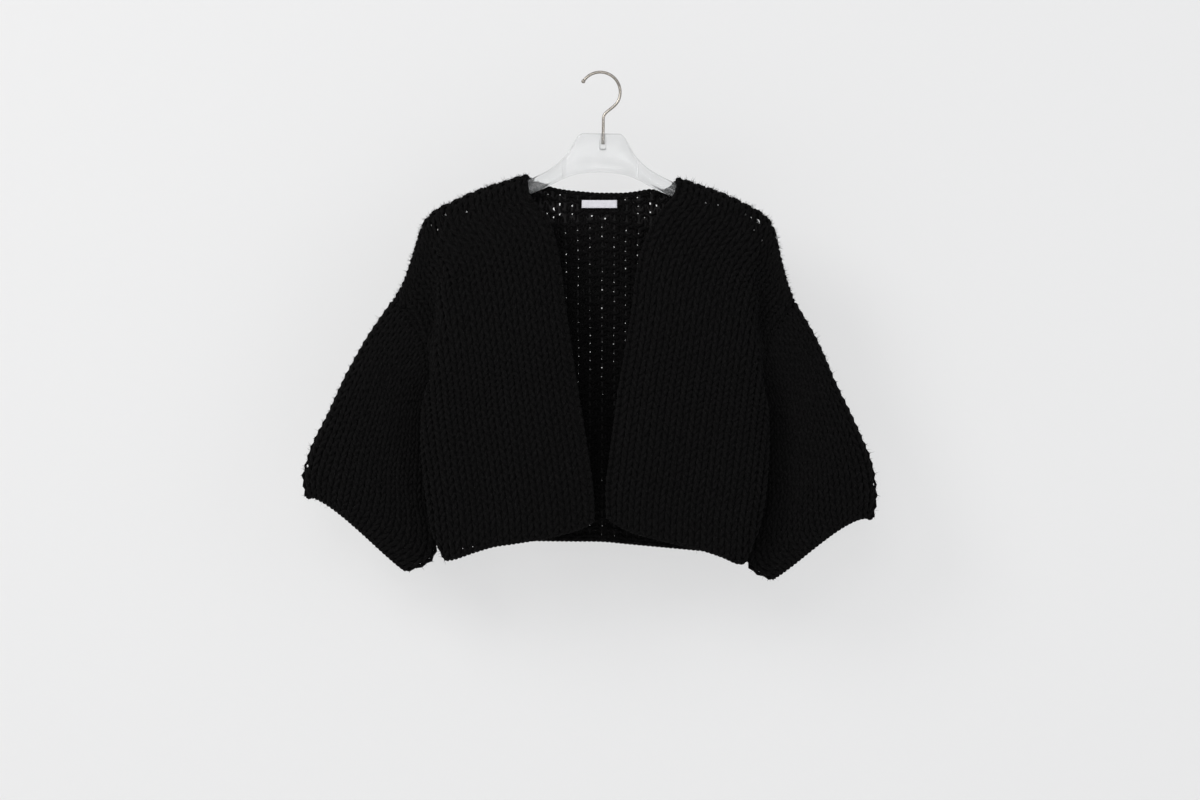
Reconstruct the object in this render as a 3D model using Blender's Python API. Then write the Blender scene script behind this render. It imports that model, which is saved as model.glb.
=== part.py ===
"""Open cardigan in chunky stockinette, hanging on a clear hanger with a wire hook.

Metres, +Z up, +X to the right of someone who faces the garment, +Y behind it.
The origin is the underside of the hook's bend, where a nail or rail carries it.
Left is the side of minus X.
"""

import math
from collections import namedtuple

import bmesh
import bpy
import numpy as np
from mathutils import Vector

MM = 0.001

# Cloth: chunky stockinette is about two yarns thick
WALL = 8 * MM
SEAM_GAP = 0.3 * MM

# Mesh density of the cloth, in steps. Courses are counted over the shoulder's bend, down to the underarm, and below it
FRONT_STEPS = 14
BEND_STEPS = 2
ARM_STEPS = 9
SIDE_STEPS = 13
SLEEVE_STEPS = 13
SECTION_SAMPLES = 160

# Share of a panel's length that lies above the underarm
ARMHOLE_SHARE = 0.4

# Hanger: a moulded arm of I section with a taller plate in the middle
HANGER_TILT = math.radians(0.8)
HANGER_HALF_DEPTH = 3.5 * MM
HANGER_WEB = 1.3 * MM
FLANGE = 4.5 * MM
HOOK_WIRE_RADIUS = 1.9 * MM
HOOK_RING_RADIUS = 26 * MM
HOOK_BEAD = 1.4
HOOK_RING_SHIFT = 2 * MM
HOOK_STEM_X = 2.6 * MM
HOOK_STEM_TOP = 58 * MM
HOOK_STEM_FOOT = 92 * MM
SOCKET_RADIUS = 4.6 * MM
SOCKET_DEPTH = 97 * MM

# Radius of the cloth's middle where it bends over the hanger's arm
SHOULDER_BEND = 10 * MM
SHOULDER_EASE = 1.8 * MM
# Length of a body panel from the shoulder to the hem
PANEL_LENGTH = 460 * MM

# Where body and sleeve crowd each other at the underarm, the cloth is pressed to this share of its thickness
UNDERARM_PRESS = 0.35
UNDERARM_REACH = 50 * MM

# Label sewn inside the back neck
LABEL_WIDTH = 47 * MM
LABEL_HEIGHT = 12.4 * MM
LABEL_THICKNESS = 0.8 * MM
LABEL_MIDDLE_X = -3.4 * MM
LABEL_TOP = 7.3 * MM

# Half of the hanger's outline, in millimetres: its top and bottom edge at each distance from the middle
HangerStation = namedtuple("HangerStation", "reach top bottom")
HANGER = [
    HangerStation(0, -77.4, -128.0),
    HangerStation(22, -77.4, -129.6),
    HangerStation(27, -78.4, -130.3),
    HangerStation(31, -82.5, -131.2),
    HangerStation(36, -91.0, -132.4),
    HangerStation(44, -104.5, -135.4),
    HangerStation(52, -113.5, -139.0),
    HangerStation(64, -123.5, -145.5),
    HangerStation(78, -131.5, -152.5),
    HangerStation(96, -139.8, -159.5),
    HangerStation(117, -148.6, -166.5),
    HangerStation(140, -155.6, -172.5),
    HangerStation(174, -169.0, -184.0),
    HangerStation(190, -177.0, -190.5),
    HangerStation(200, -183.0, -194.8),
    HangerStation(207, -188.4, -197.8),
]

# Fronts, in millimetres. Each row is a course of the knitting, at its share of the length from shoulder to hem:
# the free edge, the fold at the side, the tuck behind that fold, and the seam (armhole, then side seam)
FrontRow = namedtuple("FrontRow", "share edge_x edge_z fold_x fold_z tuck_x tuck_z seam_x seam_z")
FRONT_LEFT = [
    FrontRow(0.06, -93, -159, -206, -208, -227, -243, -259, -306),
    FrontRow(0.12, -73, -184, -206, -246, -222, -282, -250, -316),
    FrontRow(0.25, -54, -246, -206, -300, -213, -328, -229, -350),
    FrontRow(0.36, -47, -302, -213, -370, -219, -384, -222, -388),
    FrontRow(0.40, -44, -322, -217, -391, -219, -403, -212, -406),
    FrontRow(0.60, -32, -404, -230, -462, -220, -469, -199, -468),
    FrontRow(0.80, -17, -497, -225, -541, -216, -541, -198, -536),
    FrontRow(0.92, -11, -547, -216, -593, -208, -589, -192, -577),
    FrontRow(1.00, -10, -580, -200, -630, -196, -624, -186, -604),
]
FRONT_RIGHT = [
    FrontRow(0.06, 93, -158, 196, -212, 213, -246, 239, -308),
    FrontRow(0.12, 74, -181, 193, -248, 208, -284, 232, -318),
    FrontRow(0.25, 48, -240, 193, -302, 199, -330, 213, -352),
    FrontRow(0.36, 39, -302, 199, -373, 204, -387, 206, -391),
    FrontRow(0.40, 36, -322, 202, -394, 204, -406, 197, -409),
    FrontRow(0.60, 22, -404, 212, -466, 202, -473, 181, -472),
    FrontRow(0.80, 10, -493, 208, -546, 200, -546, 181, -541),
    FrontRow(0.92, 5, -541, 196, -597, 189, -593, 175, -581),
    FrontRow(1.00, 6, -575, 181, -633, 178, -627, 170, -609),
]

# How far in front of the hanger each line of a front lies, in millimetres, at the same shares
FrontDepth = namedtuple("FrontDepth", "share edge belly fold tuck seam")
FRONT_DEPTH = [
    FrontDepth(0.06, 15, 17, 18, 11, 8),
    FrontDepth(0.12, 20, 23, 25, 12, 10),
    FrontDepth(0.25, 28, 34, 33, 14, 11),
    FrontDepth(0.36, 33, 40, 35, 16, 7),
    FrontDepth(0.40, 35, 42, 35, 15, -7),
    FrontDepth(0.60, 39, 47, 35, 15, -6),
    FrontDepth(0.80, 39, 46, 34, 15, -6),
    FrontDepth(0.92, 37, 42, 32, 14, -6),
    FrontDepth(1.00, 34, 38, 29, 13, -6),
]
# Below the underarm the body's side is rounded, from the tuck to the side seam
SIDE_RADIUS = 12

# Line that both sides share over the hanger's end: how the shoulder drops to the top of the sleeve, in millimetres
DROP_LEFT = [(-211.5, -177), (-227, -191), (-233, -203.5), (-243, -237.5), (-255, -272.5), (-268, -295)]
DROP_RIGHT = [(206, -183), (216, -193), (221.5, -204.5), (229, -238.5), (238.5, -274), (246.5, -296)]
NECK_LEFT_X = -97 * MM
NECK_RIGHT_X = 97 * MM
NECK_STAND = 1.5 * MM

# Back, in millimetres: the fold behind the sleeve, the middle of the back, and how far behind the hanger each lies
BackRow = namedtuple("BackRow", "share left_x left_z right_x right_z middle_z fold_depth plane_depth")
BACK = [
    BackRow(0.12, -224, -262, 208, -266, -211, 17, 18),
    BackRow(0.25, -214, -322, 198, -326, -270, 20, 21),
    BackRow(0.36, -210, -376, 195, -380, -322, 22, 23),
    BackRow(0.40, -199, -400, 184, -404, -338, 23, 24),
    BackRow(0.60, -191, -466, 174, -471, -428, 23, 26),
    BackRow(0.80, -189, -535, 173, -541, -517, 23, 26),
    BackRow(1.00, -173, -606.5, 160, -623.5, -609, 22, 24),
]
# Back armhole: the same shares and the same X and Z as the front armhole, this many millimetres behind the hanger
BACK_ARMHOLE_DEPTH = {0.12: 12, 0.25: 17, 0.36: 19}
# The back's free neck edge, from the left to the right, where it dips before it climbs to the shoulder
NeckPoint = namedtuple("NeckPoint", "x depth z")
BACK_NECK = [
    NeckPoint(-88, 13, -136.5),
    NeckPoint(-68, 14.5, -146.0),
    NeckPoint(-47, 14.5, -150.5),
    NeckPoint(-24, 14, -153.0),
    NeckPoint(0, 14, -154.7),
    NeckPoint(24, 14, -154.7),
    NeckPoint(46, 14.5, -152.3),
    NeckPoint(64, 14.5, -149.3),
    NeckPoint(78, 14.5, -151.5),
    NeckPoint(89, 13, -145.5),
]
NECK_MIDDLE = 4

# Sleeves, in millimetres: each row is a course round the arm, with its outer and inner point as seen from the front,
# half its thickness near each of them, and how far the course bows up between them, most by the outer one
SleeveRow = namedtuple("SleeveRow", "share outer_x outer_z inner_x inner_z outer_half inner_half rise")
SLEEVE_LEFT = [
    SleeveRow(0.20, -300, -344, -231, -452, 16, 9, 0),
    SleeveRow(0.40, -328, -394, -229, -505, 19, 10, 0),
    SleeveRow(0.60, -351.5, -444, -229, -557, 21, 11, 1),
    SleeveRow(0.80, -376, -495, -218, -606, 21, 12, 4),
    SleeveRow(0.90, -383, -522, -227, -628, 19, 13, 7),
    SleeveRow(1.00, -378.5, -550, -260, -644, 15, 13, 10.5),
]
SLEEVE_RIGHT = [
    SleeveRow(0.20, 275, -350, 214, -458, 16, 9, 0),
    SleeveRow(0.40, 299, -404, 212, -512, 19, 10, 0),
    SleeveRow(0.60, 325.5, -460, 210, -565, 21, 11, 2),
    SleeveRow(0.80, 347.5, -517, 196, -617, 21, 12, 6),
    SleeveRow(0.90, 351, -548, 201.5, -640.5, 19, 13, 9.5),
    SleeveRow(1.00, 347, -578.5, 227, -655, 15, 13, 13.5),
]
SLEEVE_MIDDLE_DEPTH = 7 * MM
SLEEVE_FLATNESS = 0.8

# Soft troughs in the fronts: where across, how wide, from and to which share of the length, and how deep
Trough = namedtuple("Trough", "across width top bottom depth")
TROUGHS_LEFT = [Trough(0.53, 0.11, 0.42, 1.02, 6 * MM)]
TROUGHS_RIGHT = [Trough(0.40, 0.14, 0.50, 1.05, 3 * MM)]
# How far the courses near the hem hang below a straight line, at each share of the way across, in millimetres
Dip = namedtuple("Dip", "across depth")
DIPS_LEFT = [
    Dip(0, 0),
    Dip(0.04, 3.5),
    Dip(0.11, 6.0),
    Dip(0.22, 6.2),
    Dip(0.33, 4.3),
    Dip(0.43, 1.8),
    Dip(0.55, -1.2),
    Dip(0.65, 0),
    Dip(0.75, 2.2),
    Dip(0.82, 0.5),
    Dip(1, 0),
]
DIPS_RIGHT = [
    Dip(0, 0),
    Dip(0.07, 6.0),
    Dip(0.18, 8.7),
    Dip(0.29, 7.3),
    Dip(0.44, 4.7),
    Dip(0.58, 1.9),
    Dip(0.67, 2.3),
    Dip(0.745, 4.5),
    Dip(0.81, 1.5),
    Dip(1, 0),
]
DIP_FROM = 0.72

COLLECTION = "cardigan_on_hanger"
CUTTERS = "cutters"


def clear_scene():
    for old in list(bpy.data.objects):
        bpy.data.objects.remove(old, do_unlink=True)


def collection(name):
    made = bpy.data.collections.new(name)
    bpy.context.scene.collection.children.link(made)
    return made


def material(name, colour, roughness, metallic=0.0, transmission=0.0):
    made = bpy.data.materials.new(name)
    made.use_nodes = True
    shader = made.node_tree.nodes["Principled BSDF"]
    shader.inputs["Base Color"].default_value = (*colour, 1.0)
    shader.inputs["Roughness"].default_value = roughness
    shader.inputs["Metallic"].default_value = metallic
    shader.inputs["Transmission Weight"].default_value = transmission
    return made


def through(knots, points, at):
    """Smooth curve through points that stand at the given knots, read at the values in at. It never overshoots."""
    knots = np.asarray(knots, float)
    points = np.asarray(points, float)
    at = np.asarray(at, float)
    slopes = np.gradient(points, knots, axis=0, edge_order=1)
    steep = np.diff(points, axis=0) / np.diff(knots).reshape((-1,) + (1,) * (points.ndim - 1))
    limit = 3 * np.minimum(np.abs(steep[1:]), np.abs(steep[:-1])) * (steep[1:] * steep[:-1] > 0)
    slopes[1:-1] = np.clip(slopes[1:-1], -limit, limit)
    i = np.clip(np.searchsorted(knots, at, side="right") - 1, 0, len(knots) - 2)
    span = knots[i + 1] - knots[i]
    t = (at - knots[i]) / span
    shape = (-1,) + (1,) * (points.ndim - 1)
    t, span = t.reshape(shape), span.reshape(shape)
    return (
        (2 * t**3 - 3 * t**2 + 1) * points[i]
        + (t**3 - 2 * t**2 + t) * span * slopes[i]
        + (3 * t**2 - 2 * t**3) * points[i + 1]
        + (t**3 - t**2) * span * slopes[i + 1]
    )


def spaced(points, cuts):
    """Smooth curve through a few points, read at shares of its length. cuts is those shares, or a number of steps."""
    points = np.asarray(points, float)
    cuts = np.linspace(0, 1, cuts + 1) if np.ndim(cuts) == 0 else cuts
    chords = np.sqrt(np.linalg.norm(np.diff(points, axis=0), axis=1))
    knots = np.concatenate([[0], np.cumsum(chords)])
    fine = through(knots, points, np.linspace(0, knots[-1], SECTION_SAMPLES))
    run = lengths(fine)
    return np.stack([np.interp(cuts * run[-1], run, fine[:, k]) for k in range(3)], axis=1)


def lengths(points):
    """Length along a line of points, at each of them."""
    return np.concatenate([[0], np.cumsum(np.linalg.norm(np.diff(points, axis=0), axis=1))])


def loft(shares, sections, at):
    """Surface through sections that have the same number of points each, read at the shares in at."""
    return through(shares, np.stack(sections), at)


def hanger_top(x):
    """Height of the tilted hanger's top edge under a point, in metres."""
    reach = np.array([s.reach for s in HANGER]) * MM
    tops = np.array([s.top for s in HANGER]) * MM
    level_x = x - tops.mean() * math.sin(HANGER_TILT)
    level = through(reach, tops, np.atleast_1d(min(abs(level_x), reach[-1])))[0]
    return level * math.cos(HANGER_TILT) - x * math.sin(HANGER_TILT)


def shoulder_line(neck_x, drop):
    """Middle of the cloth along the shoulder: on the hanger from the neck, then down to the sleeve."""
    end_x = math.copysign((HANGER[-3].reach + 2) * MM, neck_x) + HANGER[-3].top * MM * math.sin(HANGER_TILT)
    lift = WALL / 2 + SHOULDER_EASE
    points = [(x, 0, hanger_top(x) + lift) for x in np.linspace(neck_x, end_x, 7)]
    points[0] = (neck_x, 0, points[0][2] + NECK_STAND)
    line = spaced(points + [(x * MM, 0, z * MM) for x, z in drop], FRONT_STEPS)
    line[:, 1] = 0
    return line


def front_section(row, depth):
    """One course of a front, from its free edge round the side fold to its seam."""
    edge = np.array([row.edge_x, -depth.edge, row.edge_z])
    fold = np.array([row.fold_x, -depth.fold, row.fold_z])
    seam = np.array([row.seam_x, -depth.seam, row.seam_z])
    tuck = np.array([row.tuck_x, -depth.tuck, row.tuck_z])
    belly = [edge + (fold - edge) * share for share in (0.3, 0.72)]
    for point in belly:
        point[1] = -depth.belly
    near_fold = edge + (fold - edge) * 0.95
    near_fold[1] = -(0.35 * depth.belly + 0.65 * depth.fold) - 2
    points = [edge, *belly, near_fold, fold, tuck]
    if row.share >= ARMHOLE_SHARE:
        outward = math.copysign(1, row.seam_x)
        points.append(seam + np.array([0.29 * SIDE_RADIUS * outward, -0.71 * SIDE_RADIUS, 0]))
    return np.array(points + [seam]) * MM


def course_shares():
    """Where the courses of a body panel lie, as shares of its length: close together over the shoulder's bend."""
    bend = math.pi / 2 * SHOULDER_BEND / PANEL_LENGTH
    over = np.linspace(0, bend, BEND_STEPS + 1)
    arm = np.linspace(bend, ARMHOLE_SHARE, ARM_STEPS + 1)
    side = np.linspace(ARMHOLE_SHARE, 1, SIDE_STEPS + 1)
    return np.concatenate([over, arm[1:], side[1:]])


def rounded_over(top, base, shares, cap):
    """Bends the head of a panel over the hanger's arm. cap is 1 over the arm, and 0 at a free neck edge."""
    bend = math.pi / 2 * SHOULDER_BEND / PANEL_LENGTH
    first = SHOULDER_BEND / PANEL_LENGTH
    out = base(np.where(shares < bend, first, first + (shares - bend) / (1 - bend) * (1 - first)))
    foot = base(np.array([first]))[0]
    for j in np.nonzero(shares < bend)[0]:
        turned = shares[j] / bend
        angle = turned * math.pi / 2
        across = cap * (1 - math.cos(angle)) + (1 - cap) * turned
        forward = cap * math.sin(angle) + (1 - cap) * turned
        out[j] = top + (foot - top) * np.stack([across, forward, across], axis=1)
    return out


def press_troughs(grid, troughs, shares):
    """Presses soft vertical troughs back into a front."""
    across = np.linspace(0, 1, grid.shape[1])
    for trough in troughs:
        profile = np.exp(-(((across - trough.across) / trough.width) ** 2))
        rise = np.clip((shares - trough.top) / 0.2, 0, 1)
        fall = np.clip((trough.bottom - shares) / 0.15, 0, 1)
        grid[:, :, 1] += trough.depth * np.outer(rise * rise * (3 - 2 * rise) * fall, profile)
    return grid


def dip_hem(grid, dips, shares):
    """Lets the courses near the hem of a front hang in their own curve."""
    across = np.linspace(0, 1, grid.shape[1])
    hang = through([dip.across for dip in dips], [dip.depth * MM for dip in dips], across)
    grid[:, :, 2] -= np.outer(np.clip((shares - DIP_FROM) / (1 - DIP_FROM), 0, 1) ** 1.5, hang)
    return grid


def front_surface(rows, neck_x, drop, troughs, dips, shares):
    """Middle of a front's cloth: a grid of courses by columns, from shoulder to hem and free edge to seam."""
    shoulder = shoulder_line(neck_x, drop)
    base_top = shoulder + np.array([0, -SHOULDER_BEND, 0])
    base_top[-1, 1] = -0.5 * SHOULDER_BEND
    sections = [base_top]
    sections += [spaced(front_section(r, d), FRONT_STEPS) for r, d in zip(rows, FRONT_DEPTH)]
    stations = [0.0] + [r.share for r in rows]
    cap = np.ones(FRONT_STEPS + 1)
    grid = rounded_over(shoulder, lambda at: loft(stations, sections, at), shares, cap)
    return dip_hem(press_troughs(grid, troughs, shares), dips, shares)


def back_section(row, left, right):
    """One course of the back, from the left seam to the right seam."""
    fold, plane = row.fold_depth * MM, row.plane_depth * MM
    left_fold = np.array([row.left_x * MM, fold, row.left_z * MM])
    right_fold = np.array([row.right_x * MM, fold, row.right_z * MM])
    middle = np.array([0, plane, row.middle_z * MM])
    points = [left_fold]
    points += [left_fold + (middle - left_fold) * share for share in (0.2, 0.5, 0.8)]
    points += [middle]
    points += [middle + (right_fold - middle) * share for share in (0.2, 0.5, 0.8)]
    points += [right_fold]
    for point in points[1:-1]:
        point[1] = plane
    return np.array([left] + points + [right])


def back_surface(front_left, front_right, shares):
    """Middle of the back's cloth: a grid of courses by columns, from neck to hem and left seam to right seam.
    Its seams are the fronts' own, so that the panels meet."""
    left_line, right_line = shoulder_line(NECK_LEFT_X, DROP_LEFT), shoulder_line(NECK_RIGHT_X, DROP_RIGHT)
    neck = [(p.x * MM, p.depth * MM, p.z * MM) for p in BACK_NECK]
    top = np.concatenate([left_line[::-1], neck, right_line])
    cuts = lengths(top) / lengths(top)[-1]
    cap = np.where(top[:, 1] > 0, 0.0, 1.0)
    base_top = top.copy()
    base_top[:, 1] = np.maximum(top[:, 1], SHOULDER_BEND)
    base_top[[0, -1], 1] = 0.5 * SHOULDER_BEND
    sections = [base_top]
    for row in BACK:
        seams = []
        for front in (front_left, front_right):
            seam = through(shares, front[:, -1], np.array([row.share]))[0]
            if row.share in BACK_ARMHOLE_DEPTH:
                seam[1] = BACK_ARMHOLE_DEPTH[row.share] * MM
            seams.append(seam)
        sections.append(spaced(back_section(row, *seams), cuts))
    stations = [0.0] + [row.share for row in BACK]
    grid = rounded_over(top, lambda at: loft(stations, sections, at), shares, cap)
    side = shares >= ARMHOLE_SHARE - 1e-6
    grid[side, 0] = front_left[side, -1]
    grid[side, -1] = front_right[side, -1]
    return grid


def sleeve_ring(row, cuts_front, cuts_behind):
    """One course round a sleeve, from its top by the front to the underarm and back up behind."""
    outer = np.array([row.outer_x, 0, row.outer_z]) * MM
    inner = np.array([row.inner_x, 0, row.inner_z]) * MM
    along = inner - outer
    up = np.array([-along[2], 0, along[0]]) / np.linalg.norm(along)
    up *= math.copysign(1, up[2])
    turn = np.linspace(0, 2 * math.pi, SECTION_SAMPLES + 1)
    across = (1 - np.cos(turn)) / 2
    swell = np.sign(np.sin(turn)) * np.abs(np.sin(turn)) ** SLEEVE_FLATNESS
    half = (row.outer_half + (row.inner_half - row.outer_half) * across) * MM
    ring = outer + across[:, None] * along + (row.rise * MM * np.abs(np.sin(turn)) * (1 - across))[:, None] * up
    ring[:, 1] = SLEEVE_MIDDLE_DEPTH - half * swell
    middle = SECTION_SAMPLES // 2
    front = spaced(ring[: middle + 1 : 8], cuts_front)
    behind = spaced(ring[middle::8], cuts_behind)
    return np.concatenate([front, behind[1:]])


def sleeve_surface(rows, front_edge, back_edge, shares):
    """Middle of a sleeve's cloth: a grid of courses, each a closed ring that starts at the top of the sleeve.
    The first ring is the armhole, edge for edge with the front and the back."""
    behind = back_edge[::-1]
    armhole = np.concatenate([front_edge, behind[1:]])
    cuts = [lengths(edge) / lengths(edge)[-1] for edge in (front_edge, behind)]
    sections = [armhole] + [sleeve_ring(row, *cuts) for row in rows]
    grid = loft([0.0] + [row.share for row in rows], sections, shares)
    grid[:, -1] = grid[:, 0]
    return grid


def grid_normals(grid, closed):
    """Unit normals of a grid of points, from the lines along it and across it."""
    down = np.gradient(grid, axis=0)
    if closed:
        ring = grid[:, :-1]
        across = np.roll(ring, -1, axis=1) - np.roll(ring, 1, axis=1)
        across = np.concatenate([across, across[:, :1]], axis=1)
    else:
        across = np.gradient(grid, axis=1)
    normal = np.cross(across, down)
    return normal / np.linalg.norm(normal, axis=2, keepdims=True)


def pressed_wall(grid, underarms):
    """Thickness of the cloth at each point of a grid: less near an underarm."""
    distance = np.min([np.linalg.norm(grid - point, axis=2) for point in underarms], axis=0)
    return WALL * (UNDERARM_PRESS + (1 - UNDERARM_PRESS) * np.clip(distance / UNDERARM_REACH, 0, 1))


def share_normals(panels, underarms):
    """Where panels meet, gives them one normal between them, so that their walls end on one plane.
    Three panels meet at an underarm, which faces down and a little outward."""
    seen = {}
    for name, panel in panels.items():
        for index in np.ndindex(panel["grid"].shape[:2]):
            key = tuple(np.round(panel["grid"][index] * 1e5).astype(int))
            seen.setdefault(key, []).append((name, index))
    corners = {tuple(np.round(point * 1e5).astype(int)) for point in underarms}
    for key, places in seen.items():
        if len(places) > 1:
            total = sum(panels[name]["normal"][index] for name, index in places)
            if key in corners:
                total = np.array([math.copysign(0.25, key[0]), -0.1, -1.0])
            for name, index in places:
                panels[name]["normal"][index] = total / np.linalg.norm(total)


def part_seams(grid, thickness, edges):
    """Draws the named edges of a grid back by a little more than half of the seam gap, and more at the underarm."""
    out = grid.copy()
    back_by = SEAM_GAP * (0.75 + 2.5 * (1 - thickness / WALL))
    for edge in edges:
        at, inner = {
            "top": (np.s_[0, :], np.s_[1, :]),
            "left": (np.s_[:, 0], np.s_[:, 1]),
            "right": (np.s_[:, -1], np.s_[:, -2]),
        }[edge]
        step = grid[inner] - grid[at]
        out[at] += step / np.linalg.norm(step, axis=-1, keepdims=True) * back_by[at][..., None]
    return out


def part_shoulder(grid, normal, side):
    """Ends a panel in the upright plane of the shoulder seam, where its head rests on the hanger."""
    on_seam = np.abs(grid[0, :, 1]) < 1e-6
    grid[0, on_seam, 1] = side * SEAM_GAP * 0.6
    normal[0, on_seam, 1] = 0
    normal[0] /= np.linalg.norm(normal[0], axis=1, keepdims=True)


def wall(name, grid, normal, thickness, closed, finish, home):
    """A closed wall on both sides of a grid of points. closed joins the last column to the first."""
    if closed:
        grid, normal, thickness = grid[:, :-1], normal[:, :-1], thickness[:, :-1]
    rows, columns = grid.shape[:2]
    half = normal * thickness[:, :, None] / 2
    outer = (grid + half).reshape(-1, 3)
    inner = (grid - half).reshape(-1, 3)
    mesh = bmesh.new()
    skins = [[mesh.verts.new(point) for point in skin] for skin in (outer, inner)]

    def place(skin, row, column):
        return skins[skin][row * columns + column % columns]

    def rim(first, second):
        """Two triangles of an edge, cut the same way whichever panel they belong to."""
        low, high = sorted((first, second), key=lambda corner: grid[corner[0], corner[1] % columns, 2])
        mesh.faces.new([place(0, *low), place(0, *high), place(1, *high)])
        mesh.faces.new([place(0, *low), place(1, *high), place(1, *low)])

    across = columns if closed else columns - 1
    for row in range(rows - 1):
        for column in range(across):
            for skin in (0, 1):
                corners = [(row, column), (row, column + 1), (row + 1, column + 1), (row + 1, column)]
                mesh.faces.new([place(skin, *corner) for corner in corners])
    for row in (0, rows - 1):
        for column in range(across):
            rim((row, column), (row, column + 1))
    if not closed:
        for column in (0, columns - 1):
            for row in range(rows - 1):
                rim((row, column), (row + 1, column))
    bmesh.ops.triangulate(mesh, faces=mesh.faces[:])
    bmesh.ops.recalc_face_normals(mesh, faces=mesh.faces[:])
    data = bpy.data.meshes.new(name)
    mesh.to_mesh(data)
    mesh.free()
    data.shade_smooth()
    data.materials.append(finish)
    made = bpy.data.objects.new(name, data)
    home.objects.link(made)
    return made


def build_cloth(home, knit, label_finish):
    shares = course_shares()
    under = BEND_STEPS + ARM_STEPS + 1
    front_left = front_surface(FRONT_LEFT, NECK_LEFT_X, DROP_LEFT, TROUGHS_LEFT, DIPS_LEFT, shares)
    front_right = front_surface(FRONT_RIGHT, NECK_RIGHT_X, DROP_RIGHT, TROUGHS_RIGHT, DIPS_RIGHT, shares)
    back = back_surface(front_left, front_right, shares)
    arm = np.linspace(0, 1, SLEEVE_STEPS + 1)
    sleeve_left = sleeve_surface(SLEEVE_LEFT, front_left[:under, -1], back[:under, 0], arm)
    sleeve_right = sleeve_surface(SLEEVE_RIGHT, front_right[:under, -1], back[:under, -1], arm)
    Panel = namedtuple("Panel", "name grid closed edges facing shoulder_side")
    panels = [
        Panel("front_left", front_left, False, ("right",), 1, -1),
        Panel("front_right", front_right, False, ("right",), -1, -1),
        Panel("back", back, False, ("left", "right"), 1, 1),
        Panel("sleeve_left", sleeve_left, True, ("top",), -1, 0),
        Panel("sleeve_right", sleeve_right, True, ("top",), 1, 0),
    ]
    normals = {p.name: grid_normals(p.grid, p.closed) * p.facing for p in panels}
    underarms = [front_left[under - 1, -1], front_right[under - 1, -1]]
    share_normals({p.name: {"grid": p.grid, "normal": normals[p.name]} for p in panels}, underarms)
    for panel in panels:
        thickness = pressed_wall(panel.grid, underarms)
        parted = part_seams(panel.grid, thickness, panel.edges)
        if panel.shoulder_side:
            part_shoulder(parted, normals[panel.name], panel.shoulder_side)
        wall(panel.name, parted, normals[panel.name], thickness, panel.closed, knit, home)
    build_label(back, label_finish, home)


def build_label(back, finish, home):
    """The label lies on the inner face of the back, a little below its neck edge."""
    middle = FRONT_STEPS + 1 + NECK_MIDDLE
    lines = back[:6, middle - 4 : middle + 5]
    grid = []
    for height in np.linspace(0, LABEL_HEIGHT, 3):
        row = []
        for x in np.linspace(-LABEL_WIDTH / 2, LABEL_WIDTH / 2, 7) + LABEL_MIDDLE_X:
            column = np.array([through(line[:, 0], line, np.array([x]))[0] for line in lines])
            z = BACK_NECK[NECK_MIDDLE].z * MM - LABEL_TOP - height
            y = np.interp(-z, -column[:, 2], column[:, 1])
            row.append((x, y - WALL / 2 - SEAM_GAP - LABEL_THICKNESS / 2, z))
        grid.append(row)
    grid = np.array(grid)
    facing = np.zeros_like(grid)
    facing[:, :, 1] = -1
    wall("neck_label", grid, facing, np.full(grid.shape[:2], LABEL_THICKNESS), False, finish, home)


def hanger_section(top, bottom):
    """Section of the moulded hanger: a round-topped flange, a thin web and a lower flange, as (y, z) points."""
    half = [
        (0.0, top),
        (0.55 * HANGER_HALF_DEPTH, top - 0.16 * FLANGE),
        (0.9 * HANGER_HALF_DEPTH, top - 0.5 * FLANGE),
        (HANGER_HALF_DEPTH, top - 0.9 * FLANGE),
        (HANGER_WEB, top - 1.15 * FLANGE),
        (HANGER_WEB, bottom + 0.75 * FLANGE),
        (0.9 * HANGER_HALF_DEPTH, bottom + 0.55 * FLANGE),
        (0.9 * HANGER_HALF_DEPTH, bottom + 0.15 * FLANGE),
        (0.6 * HANGER_HALF_DEPTH, bottom),
    ]
    return half + [(-y, z) for y, z in reversed(half[1:])]


def build_hanger_body(home, cutters, plastic, tilt):
    reach = np.array([s.reach for s in HANGER]) * MM
    tops = np.array([s.top for s in HANGER]) * MM
    bottoms = np.array([s.bottom for s in HANGER]) * MM
    xs = np.concatenate([-reach[:0:-1], reach])
    mesh = bmesh.new()
    rings = []
    for x in xs:
        top = through(reach, tops, np.array([abs(x)]))[0]
        bottom = through(reach, bottoms, np.array([abs(x)]))[0]
        rings.append([mesh.verts.new((x, y, z)) for y, z in hanger_section(top, bottom)])
    count = len(rings[0])
    for near, far in zip(rings, rings[1:]):
        for k in range(count):
            mesh.faces.new([near[k], near[(k + 1) % count], far[(k + 1) % count], far[k]])
    mesh.faces.new(rings[0])
    mesh.faces.new(rings[-1])
    bmesh.ops.triangulate(mesh, faces=mesh.faces[:])
    bmesh.ops.recalc_face_normals(mesh, faces=mesh.faces[:])
    data = bpy.data.meshes.new("hanger_body")
    mesh.to_mesh(data)
    mesh.free()
    data.materials.append(plastic)
    body = bpy.data.objects.new("hanger_body", data)
    home.objects.link(body)
    body.parent = tilt

    socket_top = -HANGER[0].top * MM
    boss = cylinder("hook_socket", SOCKET_RADIUS, socket_top + 0.6 * MM, SOCKET_DEPTH, cutters, tilt)
    bore = cylinder("hook_bore", HOOK_WIRE_RADIUS + SEAM_GAP, socket_top - 5 * MM, HOOK_STEM_FOOT + 2 * SEAM_GAP, cutters, tilt)
    for cutter, operation in ((boss, "UNION"), (bore, "DIFFERENCE")):
        cut = body.modifiers.new(cutter.name, "BOOLEAN")
        cut.operation = operation
        cut.solver = "EXACT"
        cut.object = cutter
    return body


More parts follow.
